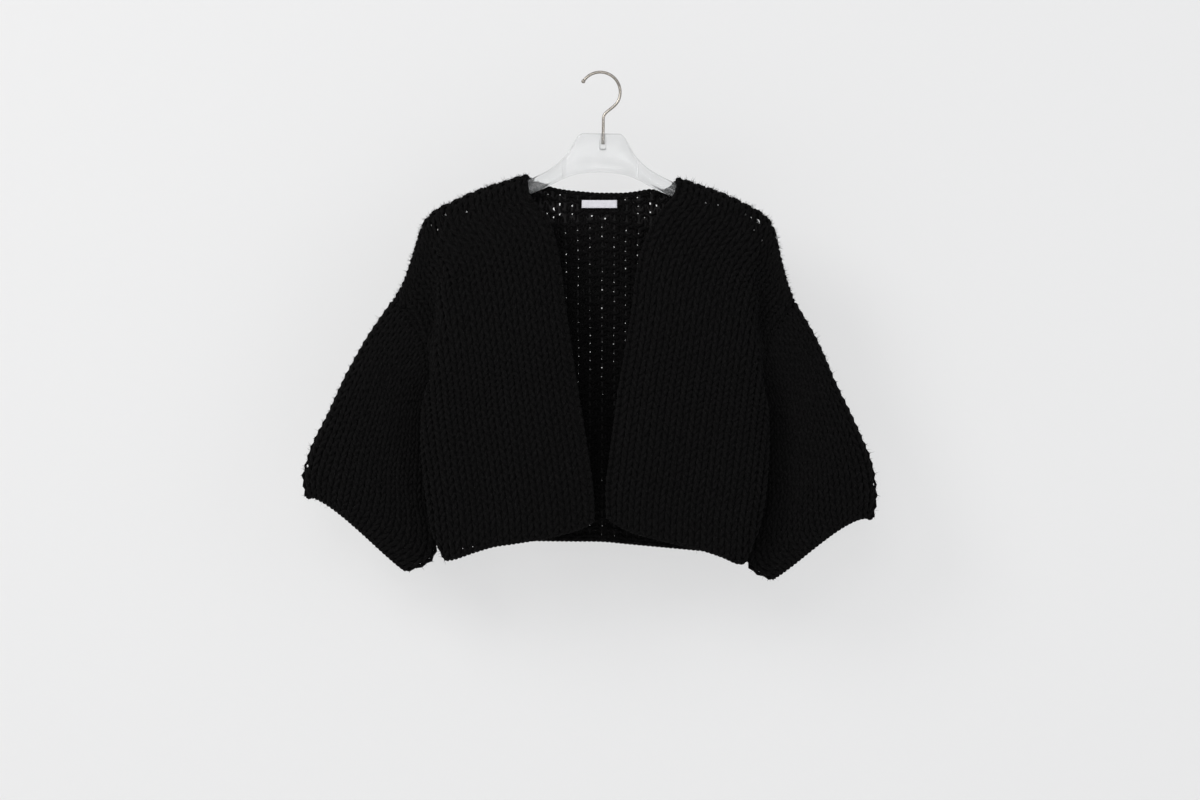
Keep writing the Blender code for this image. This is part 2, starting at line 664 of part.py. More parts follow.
def cylinder(name, radius, top, bottom, home, tilt):
    """An upright cylinder at the hook's stem, between two depths below the origin."""
    mesh = bmesh.new()
    bmesh.ops.create_cone(mesh, cap_ends=True, segments=16, radius1=radius, radius2=radius, depth=bottom - top)
    data = bpy.data.meshes.new(name)
    mesh.to_mesh(data)
    mesh.free()
    made = bpy.data.objects.new(name, data)
    home.objects.link(made)
    made.location = (HOOK_STEM_X, 0, -(top + bottom) / 2)
    made.parent = tilt
    made.hide_render = True
    made.display_type = "WIRE"
    return made


def hook_line():
    """Centre of the hook's wire: from its tip over the bend, in to the stem and down into the hanger."""
    centre = Vector((-HOOK_RING_SHIFT, 0, HOOK_WIRE_RADIUS - HOOK_RING_RADIUS))
    points = []
    for degrees in np.linspace(150, -22, 20):
        angle = math.radians(degrees)
        points.append(centre + HOOK_RING_RADIUS * Vector((math.cos(angle), 0, math.sin(angle))))
    leave = Vector((math.sin(angle), 0, -math.cos(angle)))
    start, end = points[-1], Vector((HOOK_STEM_X, 0, -HOOK_STEM_TOP))
    first, second = start + leave * 17 * MM, end + Vector((0, 0, 15 * MM))
    for t in np.linspace(0, 1, 10)[1:]:
        points.append((1 - t) ** 3 * start + 3 * (1 - t) ** 2 * t * first + 3 * (1 - t) * t**2 * second + t**3 * end)
    points.append(Vector((HOOK_STEM_X, 0, -HOOK_STEM_FOOT)))
    return points


def build_hook(home, steel, tilt):
    points = hook_line()
    curve = bpy.data.curves.new("hanger_hook", "CURVE")
    curve.dimensions = "3D"
    curve.bevel_depth = HOOK_WIRE_RADIUS
    curve.bevel_resolution = 2
    curve.use_fill_caps = True
    spline = curve.splines.new("POLY")
    spline.points.add(len(points) - 1)
    for knot, point in zip(spline.points, points):
        knot.co = (*point, 1.0)
    for knot, size in zip(spline.points, (0.8, HOOK_BEAD, HOOK_BEAD)):
        knot.radius = size
    curve.materials.append(steel)
    hook = bpy.data.objects.new("hanger_hook", curve)
    home.objects.link(hook)
    hook.parent = tilt


def main():
    clear_scene()
    home, cutters = collection(COLLECTION), collection(CUTTERS)
    knit = material("black_knit", (0.012, 0.012, 0.013), 0.9)
    label_finish = material("white_label", (0.78, 0.76, 0.80), 0.6)
    plastic = material("clear_plastic", (0.93, 0.94, 0.94), 0.12, transmission=0.9)
    steel = material("nickel_wire", (0.66, 0.63, 0.60), 0.3, metallic=1.0)
    tilt = bpy.data.objects.new("hanger_tilt", None)
    tilt.rotation_euler = (0, HANGER_TILT, 0)
    home.objects.link(tilt)
    build_cloth(home, knit, label_finish)
    build_hanger_body(home, cutters, plastic, tilt)
    build_hook(home, steel, tilt)


main()
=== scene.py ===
"""Chunky black open cardigan with balloon sleeves, on a clear plastic hanger with a wire hook.

Metres. Plus Z is up, and plus X is to the right of someone who faces the garment.
Left is the side of minus X. The underside of the hook's bend is at the origin.
"""

import math
from collections import namedtuple

import bpy
import numpy as np
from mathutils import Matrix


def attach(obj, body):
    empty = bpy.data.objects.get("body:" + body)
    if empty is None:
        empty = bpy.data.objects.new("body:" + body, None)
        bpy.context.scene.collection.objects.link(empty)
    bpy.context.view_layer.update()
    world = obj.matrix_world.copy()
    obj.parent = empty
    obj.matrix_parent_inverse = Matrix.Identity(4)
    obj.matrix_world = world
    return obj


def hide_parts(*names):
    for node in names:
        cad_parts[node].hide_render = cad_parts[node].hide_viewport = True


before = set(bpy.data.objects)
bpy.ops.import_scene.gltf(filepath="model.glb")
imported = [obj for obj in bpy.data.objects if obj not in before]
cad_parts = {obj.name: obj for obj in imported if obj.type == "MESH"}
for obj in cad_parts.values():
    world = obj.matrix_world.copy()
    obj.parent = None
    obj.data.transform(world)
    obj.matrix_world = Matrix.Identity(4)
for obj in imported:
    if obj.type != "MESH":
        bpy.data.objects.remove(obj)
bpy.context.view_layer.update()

MM = 0.001


# Hanger body: one clear moulding, a thin plate in the middle that runs out into two arms.
# A thicker flange goes round its edge, and a boss in the plate takes the hook's stem.

HANGER_TILT = math.radians(0.8)
HANGER_HALF_DEPTH = 3.5 * MM
HANGER_WEB = 1.3 * MM
FLANGE = 4.5 * MM
HOOK_STEM_X = 2.6 * MM
HOOK_STEM_FOOT = 92 * MM
HOOK_WIRE_RADIUS = 1.9 * MM
SOCKET_RADIUS = 4.6 * MM
SOCKET_DEPTH = 97 * MM
SOCKET_CLEARANCE = 0.3 * MM
HANGER_STATIONS = 150

# Half of the outline, in millimetres: the top and bottom edge at each distance from the middle
HangerStation = namedtuple("HangerStation", "reach top bottom")
HANGER = [
    HangerStation(0, -77.4, -128.0),
    HangerStation(22, -77.4, -129.6),
    HangerStation(27, -78.4, -130.3),
    HangerStation(31, -82.5, -131.2),
    HangerStation(36, -91.0, -132.4),
    HangerStation(44, -104.5, -135.4),
    HangerStation(52, -113.5, -139.0),
    HangerStation(64, -123.5, -145.5),
    HangerStation(78, -131.5, -152.5),
    HangerStation(96, -139.8, -159.5),
    HangerStation(117, -148.6, -166.5),
    HangerStation(140, -155.6, -172.5),
    HangerStation(174, -169.0, -184.0),
    HangerStation(190, -177.0, -190.5),
    HangerStation(200, -183.0, -194.8),
    HangerStation(207, -188.4, -197.8),
]


def through(knots, points, at):
    """Smooth curve through points that stand at the given knots, read at the values in at.
    It never overshoots."""
    knots = np.asarray(knots, float)
    points = np.asarray(points, float)
    at = np.asarray(at, float)
    shape = (-1,) + (1,) * (points.ndim - 1)
    slopes = np.gradient(points, knots, axis=0, edge_order=1)
    steep = np.diff(points, axis=0) / np.diff(knots).reshape(shape)
    limit = 3 * np.minimum(np.abs(steep[1:]), np.abs(steep[:-1])) * (steep[1:] * steep[:-1] > 0)
    slopes[1:-1] = np.clip(slopes[1:-1], -limit, limit)
    i = np.clip(np.searchsorted(knots, at, side="right") - 1, 0, len(knots) - 2)
    span = knots[i + 1] - knots[i]
    t = ((at - knots[i]) / span).reshape(shape)
    span = span.reshape(shape)
    return (
        (2 * t**3 - 3 * t**2 + 1) * points[i]
        + (t**3 - 2 * t**2 + t) * span * slopes[i]
        + (3 * t**2 - 2 * t**3) * points[i + 1]
        + (t**3 - t**2) * span * slopes[i + 1]
    )


def tilted(points):
    """Turns points with the hanger, which hangs a little down to the right."""
    points = np.asarray(points, float)
    x = points[..., 0] * math.cos(HANGER_TILT) + points[..., 2] * math.sin(HANGER_TILT)
    z = points[..., 2] * math.cos(HANGER_TILT) - points[..., 0] * math.sin(HANGER_TILT)
    return np.stack([x, points[..., 1], z], axis=-1)


def mesh_object(name, points, faces):
    """A mesh in the scene, which rides on nothing yet."""
    data = bpy.data.meshes.new(name)
    data.from_pydata([tuple(point) for point in points], [], faces)
    data.validate()
    made = bpy.data.objects.new(name, data)
    bpy.context.scene.collection.objects.link(made)
    return made


def piece_from(name, points, faces, finish, smooth=True):
    """A piece of the cardigan or its hanger, which rides on the one body."""
    made = mesh_object(name, points, faces)
    if smooth:
        made.data.shade_smooth()
    made.data.materials.append(finish)
    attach(made, "root")
    return made


def tube_faces(rings, sides):
    """Faces of a tube with closed ends, whose points are listed ring by ring."""
    faces = []
    for ring in range(rings - 1):
        for side in range(sides):
            near = ring * sides
            after = (side + 1) % sides
            faces.append((near + side, near + after, near + sides + after, near + sides + side))
    faces.append(tuple(reversed(range(sides))))
    faces.append(tuple(range((rings - 1) * sides, rings * sides)))
    return faces


def shader_of(finish):
    return finish.node_tree.nodes["Principled BSDF"]


def set_sockets(node, values):
    """Sets a node's input sockets by name, with an underscore for each space."""
    for socket, value in values.items():
        node.inputs[socket.replace("_", " ")].default_value = value
    return node


def add_node(finish, kind, **values):
    """A node in a finish, with values for its input sockets by name."""
    return set_sockets(finish.node_tree.nodes.new(kind), values)


def new_finish(name, **values):
    """A finish with one shader, and values for that shader's sockets by name."""
    made = bpy.data.materials.new(name)
    made.use_nodes = True
    set_sockets(shader_of(made), values)
    return made


def bump_into(finish, height, strength, distance):
    """Raises the surface of a finish by the height that a node gives."""
    bump = add_node(finish, "ShaderNodeBump", Strength=strength, Distance=distance)
    link = finish.node_tree.links.new
    link(height, bump.inputs["Height"])
    link(bump.outputs["Normal"], shader_of(finish).inputs["Normal"])


def noise_in(finish, scale, detail=3.0, roughness=0.55, stretch=(1, 1, 1)):
    """Noise laid through a piece in its own metres."""
    link = finish.node_tree.links.new
    place = finish.node_tree.nodes.new("ShaderNodeTexCoord")
    mapping = add_node(finish, "ShaderNodeMapping", Scale=stretch)
    noise = add_node(finish, "ShaderNodeTexNoise", Scale=scale, Detail=detail, Roughness=roughness)
    link(place.outputs["Object"], mapping.inputs["Vector"])
    link(mapping.outputs["Vector"], noise.inputs["Vector"])
    return noise.outputs["Fac"]


def tinted(finish, fac, dark, light, stops=(0.3, 0.7)):
    """Colours a finish by a value from 0 to 1: dark up to the first stop, and light from the second."""
    ramp = finish.node_tree.nodes.new("ShaderNodeValToRGB")
    for stop, place, colour in zip(ramp.color_ramp.elements, stops, (dark, light)):
        stop.position = place
        stop.color = (*colour, 1.0)
    link = finish.node_tree.links.new
    link(fac, ramp.inputs["Fac"])
    link(ramp.outputs["Color"], shader_of(finish).inputs["Base Color"])


clear_plastic = new_finish("clear_plastic", Roughness=0.15, Transmission_Weight=0.9, IOR=1.42, Alpha=0.74)
tinted(clear_plastic, noise_in(clear_plastic, 35), (0.79, 0.80, 0.80), (0.86, 0.865, 0.865))
bump_into(clear_plastic, noise_in(clear_plastic, 120, detail=1.5), 0.04, 0.4 * MM)


def hanger_section(top, bottom):
    """Section of the moulding: a round-topped flange, a thin web and a lower flange, as (y, z) points."""
    half = [
        (0.0, top),
        (0.55 * HANGER_HALF_DEPTH, top - 0.16 * FLANGE),
        (0.9 * HANGER_HALF_DEPTH, top - 0.5 * FLANGE),
        (HANGER_HALF_DEPTH, top - 0.9 * FLANGE),
        (HANGER_WEB, top - 1.15 * FLANGE),
        (HANGER_WEB, bottom + 0.75 * FLANGE),
        (0.9 * HANGER_HALF_DEPTH, bottom + 0.55 * FLANGE),
        (0.9 * HANGER_HALF_DEPTH, bottom + 0.15 * FLANGE),
        (0.6 * HANGER_HALF_DEPTH, bottom),
    ]
    return half + [(-y, z) for y, z in reversed(half[1:])]


reach = np.array([station.reach for station in HANGER]) * MM
tops = np.array([station.top for station in HANGER]) * MM
bottoms = np.array([station.bottom for station in HANGER]) * MM


def hanger_edges(x):
    """Heights of the moulding's top and bottom edge at a place along it, before it is tilted."""
    at = np.array([min(abs(x), reach[-1])])
    return through(reach, tops, at)[0], through(reach, bottoms, at)[0]


CUTTER_SIDES = 32
RIB_REACH = 47.7 * MM
RIB_WIDTH = 2.2 * MM
RIB_HEIGHT = 22 * MM


def upright_cylinder(name, radius, top, bottom):
    """A cylinder round the hook's stem, between two depths below the origin."""
    turn = np.linspace(0, 2 * math.pi, CUTTER_SIDES + 1)[:-1]
    points = [
        (HOOK_STEM_X + radius * math.cos(a), radius * math.sin(a), -depth)
        for depth in (top, bottom)
        for a in turn
    ]
    return mesh_object(name, tilted(points), tube_faces(2, CUTTER_SIDES))


def rib(side):
    """One of the two upright ribs that part the plate from the arms."""
    x, half = side * RIB_REACH, RIB_WIDTH / 2
    middle = sum(hanger_edges(RIB_REACH)) / 2
    points = [
        (x + dx, turn * HANGER_HALF_DEPTH, middle + end * RIB_HEIGHT / 2)
        for end in (1, -1)
        for dx, turn in ((-half, -1), (half, -1), (half, 1), (-half, 1))
    ]
    return mesh_object("rib", tilted(points), tube_faces(2, 4))


def fused(obj, *cuts):
    """Runs Boolean operations and subdivision on a piece, and keeps the result as its mesh."""
    smoother = obj.modifiers.new("rounded edges", "SUBSURF")
    smoother.levels = 1
    smoother.render_levels = 1
    for cutter, operation in cuts:
        step = obj.modifiers.new(operation.lower(), "BOOLEAN")
        step.operation = operation
        step.solver = "EXACT"
        step.object = cutter
    result = bpy.data.meshes.new_from_object(obj.evaluated_get(bpy.context.evaluated_depsgraph_get()))
    obj.modifiers.clear()
    obj.data = result
    for cutter, operation in cuts:
        bpy.data.objects.remove(cutter, do_unlink=True)


# The boss starts just below the plate's top edge, and the bore's cutter stands out above it
BOSS_BELOW_EDGE = 0.6 * MM
BORE_ABOVE_EDGE = 5 * MM

stations = np.linspace(-reach[-1], reach[-1], HANGER_STATIONS)
hanger_rings = [[(x, y, z) for y, z in hanger_section(*hanger_edges(x))] for x in stations]
hanger_body = piece_from(
    "clear_hanger",
    tilted(np.concatenate(hanger_rings)),
    tube_faces(HANGER_STATIONS, len(hanger_rings[0])),
    clear_plastic,
)
plate_top = -HANGER[0].top * MM
boss = upright_cylinder("boss", SOCKET_RADIUS, plate_top + BOSS_BELOW_EDGE, SOCKET_DEPTH)
bore = upright_cylinder(
    "bore",
    HOOK_WIRE_RADIUS + SOCKET_CLEARANCE,
    plate_top - BORE_ABOVE_EDGE,
    HOOK_STEM_FOOT + 2 * SOCKET_CLEARANCE,
)
fused(hanger_body, (rib(-1), "UNION"), (rib(1), "UNION"), (boss, "UNION"), (bore, "DIFFERENCE"))
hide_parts("hanger_body")


# Hook: one satin nickel wire, bent to a ring, with a small ball at its tip.
# Its stem is pushed into the hanger's boss, in which the real hook can swivel.

HOOK_RING_RADIUS = 26 * MM
HOOK_RING_SHIFT = 2 * MM
# The ring goes from the tip over the top to where the wire leaves it, in degrees
HOOK_TURN_FROM = 154
HOOK_TURN_TO = -22
# How straight the wire leaves the ring, and comes into the stem
BEND_FROM_RING = 12 * MM
BEND_INTO_STEM = 9.5 * MM
HOOK_STEM_TOP = 58 * MM
# Radius of the ball, in radii of the wire, and how much of the wire has finer steps for it
HOOK_BALL = 1.42
BALL_STRETCH = 6.8 * MM
HOOK_SIDES = 20

nickel = new_finish("satin_nickel", Roughness=0.27, Metallic=1.0, Anisotropic=0.4)
tinted(nickel, noise_in(nickel, 90), (0.27, 0.247, 0.217), (0.36, 0.333, 0.297), stops=(0.35, 0.7))
bump_into(nickel, noise_in(nickel, 900, stretch=(1, 1, 6)), 0.1, 0.05 * MM)


def hook_line():
    """Centre of the hook's wire, from its tip over the bend to the foot of the stem."""
    centre = np.array([-HOOK_RING_SHIFT, 0, HOOK_WIRE_RADIUS - HOOK_RING_RADIUS])
    turn = np.radians(np.linspace(HOOK_TURN_FROM, HOOK_TURN_TO, 65))
    ring = centre + HOOK_RING_RADIUS * np.stack([np.cos(turn), 0 * turn, np.sin(turn)], axis=1)
    leave = np.array([math.sin(turn[-1]), 0, -math.cos(turn[-1])])
    start, end = ring[-1], np.array([HOOK_STEM_X, 0, -HOOK_STEM_TOP])
    first = start + leave * BEND_FROM_RING
    second = end + np.array([0, 0, BEND_INTO_STEM])
    t = np.linspace(0, 1, 28)[1:, None]
    bend = (1 - t) ** 3 * start + 3 * (1 - t) ** 2 * t * first + 3 * (1 - t) * t**2 * second + t**3 * end
    stem = [(HOOK_STEM_X, 0, -z) for z in np.linspace(HOOK_STEM_TOP, HOOK_STEM_FOOT, 8)[1:]]
    return np.concatenate([ring, bend, stem])


def lengths(points):
    """Length along a line of points, at each of them."""
    return np.concatenate([[0], np.cumsum(np.linalg.norm(np.diff(points, axis=0), axis=1))])


def read_along(at, run, points):
    """Points read at places along a line. run is how far along it each of its own points lies."""
    return np.stack([np.interp(at, run, column) for column in np.transpose(points)], axis=1)


def unit(vectors):
    """Vectors brought to a length of 1."""
    return vectors / (np.linalg.norm(vectors, axis=-1, keepdims=True) + 1e-12)


def rings_round(line, side, up, radii, sides):
    """Rings of points round a line, each in the plane of its side and up directions."""
    turn = np.arange(sides) * 2 * math.pi / sides
    around = np.cos(turn)[None, :, None] * side[:, None] + np.sin(turn)[None, :, None] * up[:, None]
    return (line[:, None] + around * np.asarray(radii)[:, None, None]).reshape(-1, 3)


def round_tube(line, radii, sides, upright):
    """Points of a tube round a line, ring by ring. upright is a direction that the line never takes."""
    along = unit(np.gradient(line, axis=0))
    side = unit(np.cross(along, upright))
    return rings_round(line, side, np.cross(side, along), radii, sides)


wire = hook_line()
run = lengths(wire)
near_ball = read_along(np.linspace(0, BALL_STRETCH, 14), run, wire)
wire = np.concatenate([near_ball, wire[run > BALL_STRETCH]])
run = lengths(wire)
ball_radius = HOOK_BALL * HOOK_WIRE_RADIUS
ball_end = np.sqrt(np.clip(ball_radius**2 - (run - ball_radius) ** 2, 0, None))
ball_end = np.maximum(ball_end, HOOK_WIRE_RADIUS * (run > ball_radius))
wire_radii = np.where(run < 2 * ball_radius, ball_end, HOOK_WIRE_RADIUS)
hook = piece_from(
    "wire_hook",
    tilted(round_tube(wire, np.maximum(wire_radii, 0.1 * MM), HOOK_SIDES, np.array([0.0, 1.0, 0.0]))),
    tube_faces(len(wire), HOOK_SIDES),
    nickel,
)
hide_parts("hanger_hook")


# Fronts: two knitted panels in plain stockinette, cast on at the hem and sewn to the back
# at the shoulder and the side. Each hangs from the hanger's arm and folds round to its side seam.
# The yarn is thick, soft and brushed.

SHOULDER_BEND = 10 * MM
SHOULDER_EASE = 2.6 * MM
CLOTH_WALL = 8 * MM
PANEL_LENGTH = 460 * MM
ARMHOLE_SHARE = 0.4
NECK_DROP = 2.5 * MM
NECK_CORNER = 9 * MM
NECK_LEFT_X = -97 * MM
NECK_RIGHT_X = 97 * MM
SIDE_RADIUS = 12
COURSES = 40
FRONT_STITCHES = 16
STITCH_WIDTH = 16.1 * MM
STITCH_HEIGHT = PANEL_LENGTH / COURSES
YARN_RADIUS = 2.7 * MM

# In millimetres. Each row is a course of the knitting, at its share of the length from shoulder to hem:
# the free edge, the fold at the side, the tuck behind that fold, and the seam (armhole, then side seam)
FrontRow = namedtuple("FrontRow", "share edge_x edge_z fold_x fold_z tuck_x tuck_z seam_x seam_z")
FRONT_LEFT = [
    FrontRow(0.06, -93, -159, -206, -208, -227, -243, -259, -306),
    FrontRow(0.12, -73, -184, -206, -246, -222, -282, -250, -316),
    FrontRow(0.25, -54, -246, -206, -300, -213, -328, -229, -350),
    FrontRow(0.36, -47, -302, -213, -370, -219, -384, -222, -388),
    FrontRow(0.40, -44, -322, -217, -391, -219, -403, -212, -406),
    FrontRow(0.60, -32, -404, -230, -462, -220, -469, -199, -468),
    FrontRow(0.80, -17, -497, -225, -541, -216, -541, -198, -536),
    FrontRow(0.92, -11, -547, -216, -593, -208, -589, -192, -577),
    FrontRow(1.00, -10, -580, -200, -630, -196, -624, -186, -604),
]
FRONT_RIGHT = [
    FrontRow(0.06, 93, -158, 196, -212, 213, -246, 239, -308),
    FrontRow(0.12, 74, -181, 193, -248, 208, -284, 232, -318),
    FrontRow(0.25, 48, -240, 193, -302, 199, -330, 213, -352),
    FrontRow(0.36, 39, -302, 199, -373, 204, -387, 206, -391),
    FrontRow(0.40, 36, -322, 202, -394, 204, -406, 197, -409),
    FrontRow(0.60, 22, -404, 212, -466, 202, -473, 181, -472),
    FrontRow(0.80, 10, -493, 208, -546, 200, -546, 181, -541),
    FrontRow(0.92, 5, -541, 196, -597, 189, -593, 175, -581),
    FrontRow(1.00, 6, -575, 181, -633, 178, -627, 170, -609),
]
# How far in front of the hanger each line of a front lies, in millimetres, at the same shares
FrontDepth = namedtuple("FrontDepth", "share edge belly fold tuck seam")
FRONT_DEPTH = [
    FrontDepth(0.06, 15, 17, 18, 11, 8),
    FrontDepth(0.12, 20, 23, 25, 12, 10),
    FrontDepth(0.25, 28, 34, 33, 14, 11),
    FrontDepth(0.36, 33, 40, 35, 16, 7),
    FrontDepth(0.40, 35, 42, 35, 15, -7),
    FrontDepth(0.60, 39, 47, 35, 15, -6),
    FrontDepth(0.80, 39, 46, 34, 15, -6),
    FrontDepth(0.92, 37, 42, 32, 14, -6),
    FrontDepth(1.00, 34, 38, 29, 13, -6),
]
# Line over the hanger's end, where the shoulder drops to the top of the sleeve, in millimetres
DROP_LEFT = [(-211.5, -177), (-227, -191), (-233, -203.5), (-243, -237.5), (-255, -272.5), (-268, -295)]
DROP_RIGHT = [(206, -183), (216, -193), (221.5, -204.5), (229, -238.5), (238.5, -274), (246.5, -296)]
# Soft troughs in the fronts: where across, how wide, from and to which share of the length, and how deep
Trough = namedtuple("Trough", "across width top bottom depth")
TROUGHS_LEFT = [Trough(0.53, 0.11, 0.42, 1.02, 6 * MM)]
TROUGHS_RIGHT = [Trough(0.40, 0.14, 0.50, 1.05, 3 * MM)]
# How far the courses near the hem hang below a straight line, at each share of the way across, in millimetres
Dip = namedtuple("Dip", "across depth")
DIPS_LEFT = [
    Dip(0, 0), Dip(0.04, 3.5), Dip(0.11, 6.0), Dip(0.22, 6.2), Dip(0.33, 4.3), Dip(0.43, 1.8),
    Dip(0.55, -1.2), Dip(0.65, 0), Dip(0.75, 2.2), Dip(0.82, 0.5), Dip(1, 0),
]
DIPS_RIGHT = [
    Dip(0, 0), Dip(0.07, 6.0), Dip(0.18, 8.7), Dip(0.29, 7.3), Dip(0.44, 4.7),
    Dip(0.58, 1.9), Dip(0.67, 2.3), Dip(0.745, 4.5), Dip(0.81, 1.5), Dip(1, 0),
]
DIP_FROM = 0.72
DOWN = np.linspace(0, 1, 4 * COURSES + 1)
FRONT_STEPS = 4 * FRONT_STITCHES


def spaced(points, cuts):
    """Smooth curve through a few points, read at shares of its length.
    cuts is those shares, or a number of equal steps."""
    points = np.asarray(points, float)
    cuts = np.linspace(0, 1, cuts + 1) if np.ndim(cuts) == 0 else cuts
    chords = np.sqrt(np.linalg.norm(np.diff(points, axis=0), axis=1))
    knots = np.concatenate([[0], np.cumsum(chords)])
    fine = through(knots, points, np.linspace(0, knots[-1], 240))
    along = lengths(fine)
    return read_along(cuts * along[-1], along, fine)


def loft(shares, sections, at):
    """Surface through sections that have the same number of points each, read at the shares in at."""
    return through(shares, np.stack(sections), at)


def hanger_top(x):
    """Height of the tilted hanger's top edge under a point."""
    level = hanger_edges(x - tops.mean() * math.sin(HANGER_TILT))[0]
    return level * math.cos(HANGER_TILT) - x * math.sin(HANGER_TILT)


def shoulder_line(neck_x, drop, steps):
    """Middle of the cloth along the shoulder: on the hanger from the neck, then down to the sleeve."""
    end_x = math.copysign((HANGER[-3].reach + 2) * MM, neck_x) + HANGER[-3].top * MM * math.sin(HANGER_TILT)
    lift = CLOTH_WALL / 2 + SHOULDER_EASE
    round_from = neck_x + math.copysign(NECK_CORNER, neck_x)
    points = [(x, 0, hanger_top(x) + lift) for x in (neck_x, round_from, *np.linspace(neck_x, end_x, 7)[1:])]
    points[0] = (neck_x, 0, points[0][2] - NECK_DROP)
    line = spaced(points + [(x * MM, 0, z * MM) for x, z in drop], steps)
    line[:, 1] = 0
    return line


def front_section(row, depth):
    """One course of a front, from its free edge round the side fold to its seam."""
    edge = np.array([row.edge_x, -depth.edge, row.edge_z])
    fold = np.array([row.fold_x, -depth.fold, row.fold_z])
    seam = np.array([row.seam_x, -depth.seam, row.seam_z])
    tuck = np.array([row.tuck_x, -depth.tuck, row.tuck_z])
    belly = [edge + (fold - edge) * share for share in (0.3, 0.72)]
    for point in belly:
        point[1] = -depth.belly
    near_fold = edge + (fold - edge) * 0.95
    near_fold[1] = -(0.35 * depth.belly + 0.65 * depth.fold) - 2
    points = [edge, *belly, near_fold, fold, tuck]
    if row.share >= ARMHOLE_SHARE:
        outward = math.copysign(1, row.seam_x)
        points.append(seam + np.array([0.29 * SIDE_RADIUS * outward, -0.71 * SIDE_RADIUS, 0]))
    return np.array(points + [seam]) * MM


def rounded_over(top, base, cap):
    """Bends the head of a panel over the hanger's arm. cap is 1 over the arm, and 0 at a free neck edge."""
    bend = math.pi / 2 * SHOULDER_BEND / PANEL_LENGTH
    first = SHOULDER_BEND / PANEL_LENGTH
    out = base(np.where(DOWN < bend, first, first + (DOWN - bend) / (1 - bend) * (1 - first)))
    foot = base(np.array([first]))[0]
    for j in np.nonzero(DOWN < bend)[0]:
        turned = DOWN[j] / bend
        angle = turned * math.pi / 2
        across = cap * (1 - math.cos(angle)) + (1 - cap) * turned
        forward = cap * math.sin(angle) + (1 - cap) * turned
        out[j] = top + (foot - top) * np.stack([across, forward, across], axis=1)
    return out


# Over which share of the length a trough deepens, and over which it runs out
TROUGH_RISE = 0.2
TROUGH_FALL = 0.15


def press_troughs(grid, troughs):
    """Presses soft vertical troughs back into a front."""
    across = np.linspace(0, 1, grid.shape[1])
    for trough in troughs:
        profile = np.exp(-(((across - trough.across) / trough.width) ** 2))
        rise = np.clip((DOWN - trough.top) / TROUGH_RISE, 0, 1)
        fall = np.clip((trough.bottom - DOWN) / TROUGH_FALL, 0, 1)
        grid[:, :, 1] += trough.depth * np.outer(rise * rise * (3 - 2 * rise) * fall, profile)
    return grid


def dip_hem(grid, dips):
    """Lets the courses near the hem of a front hang in their own curve."""
    across = np.linspace(0, 1, grid.shape[1])
    hang = through([dip.across for dip in dips], [dip.depth * MM for dip in dips], across)
    grid[:, :, 2] -= np.outer(np.clip((DOWN - DIP_FROM) / (1 - DIP_FROM), 0, 1) ** 1.5, hang)
    return grid


def front_surface(rows, neck_x, drop, troughs, dips):
    """Middle of a front's cloth: a grid of points from shoulder to hem and from free edge to seam."""
    shoulder = shoulder_line(neck_x, drop, FRONT_STEPS)
    base_top = shoulder + np.array([0, -SHOULDER_BEND, 0])
    base_top[-1, 1] = -0.5 * SHOULDER_BEND
    sections = [base_top]
    sections += [spaced(front_section(r, d), FRONT_STEPS) for r, d in zip(rows, FRONT_DEPTH)]
    shares = [0.0] + [r.share for r in rows]
    grid = rounded_over(shoulder, lambda at: loft(shares, sections, at), np.ones(FRONT_STEPS + 1))
    return dip_hem(press_troughs(grid, troughs), dips)


# A cloth is the grid of its middle, the unit normals that point to its knit side, and how it was knitted:
# its courses, its stitches to a course, and whether they close to a ring. lay says where the stitches of
# an open cloth lie across it. yarn is the yarn's radius, spread is how far the legs of neighbouring
# stitches lie apart, in stitches, and slack holds the stitches that have been pulled open.
Cloth = namedtuple("Cloth", "name grid normal courses stitches closed lay underarm yarn spread slack")

# Where the garment is looked at from
PHOTO_SCALE = 1.3 * MM
PHOTO_WIDTH, PHOTO_HEIGHT = 1200, 800
HOOK_IN_PHOTO = (602, 74)
CAMERA_LENS = 85.0
CAMERA_SENSOR = 36.0
GARMENT_FRONT = 4 * MM
EYE_DISTANCE = PHOTO_WIDTH * PHOTO_SCALE * CAMERA_LENS / CAMERA_SENSOR
EYE = np.array(
    [
        (PHOTO_WIDTH / 2 - HOOK_IN_PHOTO[0]) * PHOTO_SCALE,
        GARMENT_FRONT - EYE_DISTANCE,
        (HOOK_IN_PHOTO[1] - PHOTO_HEIGHT / 2) * PHOTO_SCALE,
    ]
)

# A stitch that has been pulled open in front and behind, so that light shows through: its place as it is seen
# on the upright plane through the hanger, and the gap's radius, in millimetres
Slack = namedtuple("Slack", "x z hole")
SLACK_STITCHES = [
    Slack(-204.5, -183, 2.9), Slack(-221.5, -196, 1.1), Slack(-214, -201, 1.8), Slack(-175.5, -180, 1.7),
    Slack(186, -183, 2.0), Slack(202, -191, 3.2), Slack(194, -187, 1.2), Slack(198, -203, 0.7),
    Slack(208, -216, 0.6), Slack(214.5, -229, 0.45), Slack(135, -167, 1.8), Slack(151, -170, 1.0),
    Slack(-181, -617, 0.5), Slack(-168, -614.5, 0.6), Slack(-382, -510, 0.5), Slack(353, -533, 0.5),
]
# How far along its strand the pull of a slack stitch reaches. How much of its thickness the yarn loses
# beside it, and over which distance
SLACK_REACH = 14 * MM
TIGHT = 0.34
TIGHT_FADE = 5.5 * MM


def seen(points):
    """Where points are seen from the front: their x and z on the upright plane through the hanger."""
    points = np.asarray(points, float)
    share = EYE_DISTANCE / (points[..., 1] - EYE[1])
    return EYE[[0, 2]] + (points[..., [0, 2]] - EYE[[0, 2]]) * share[..., None]


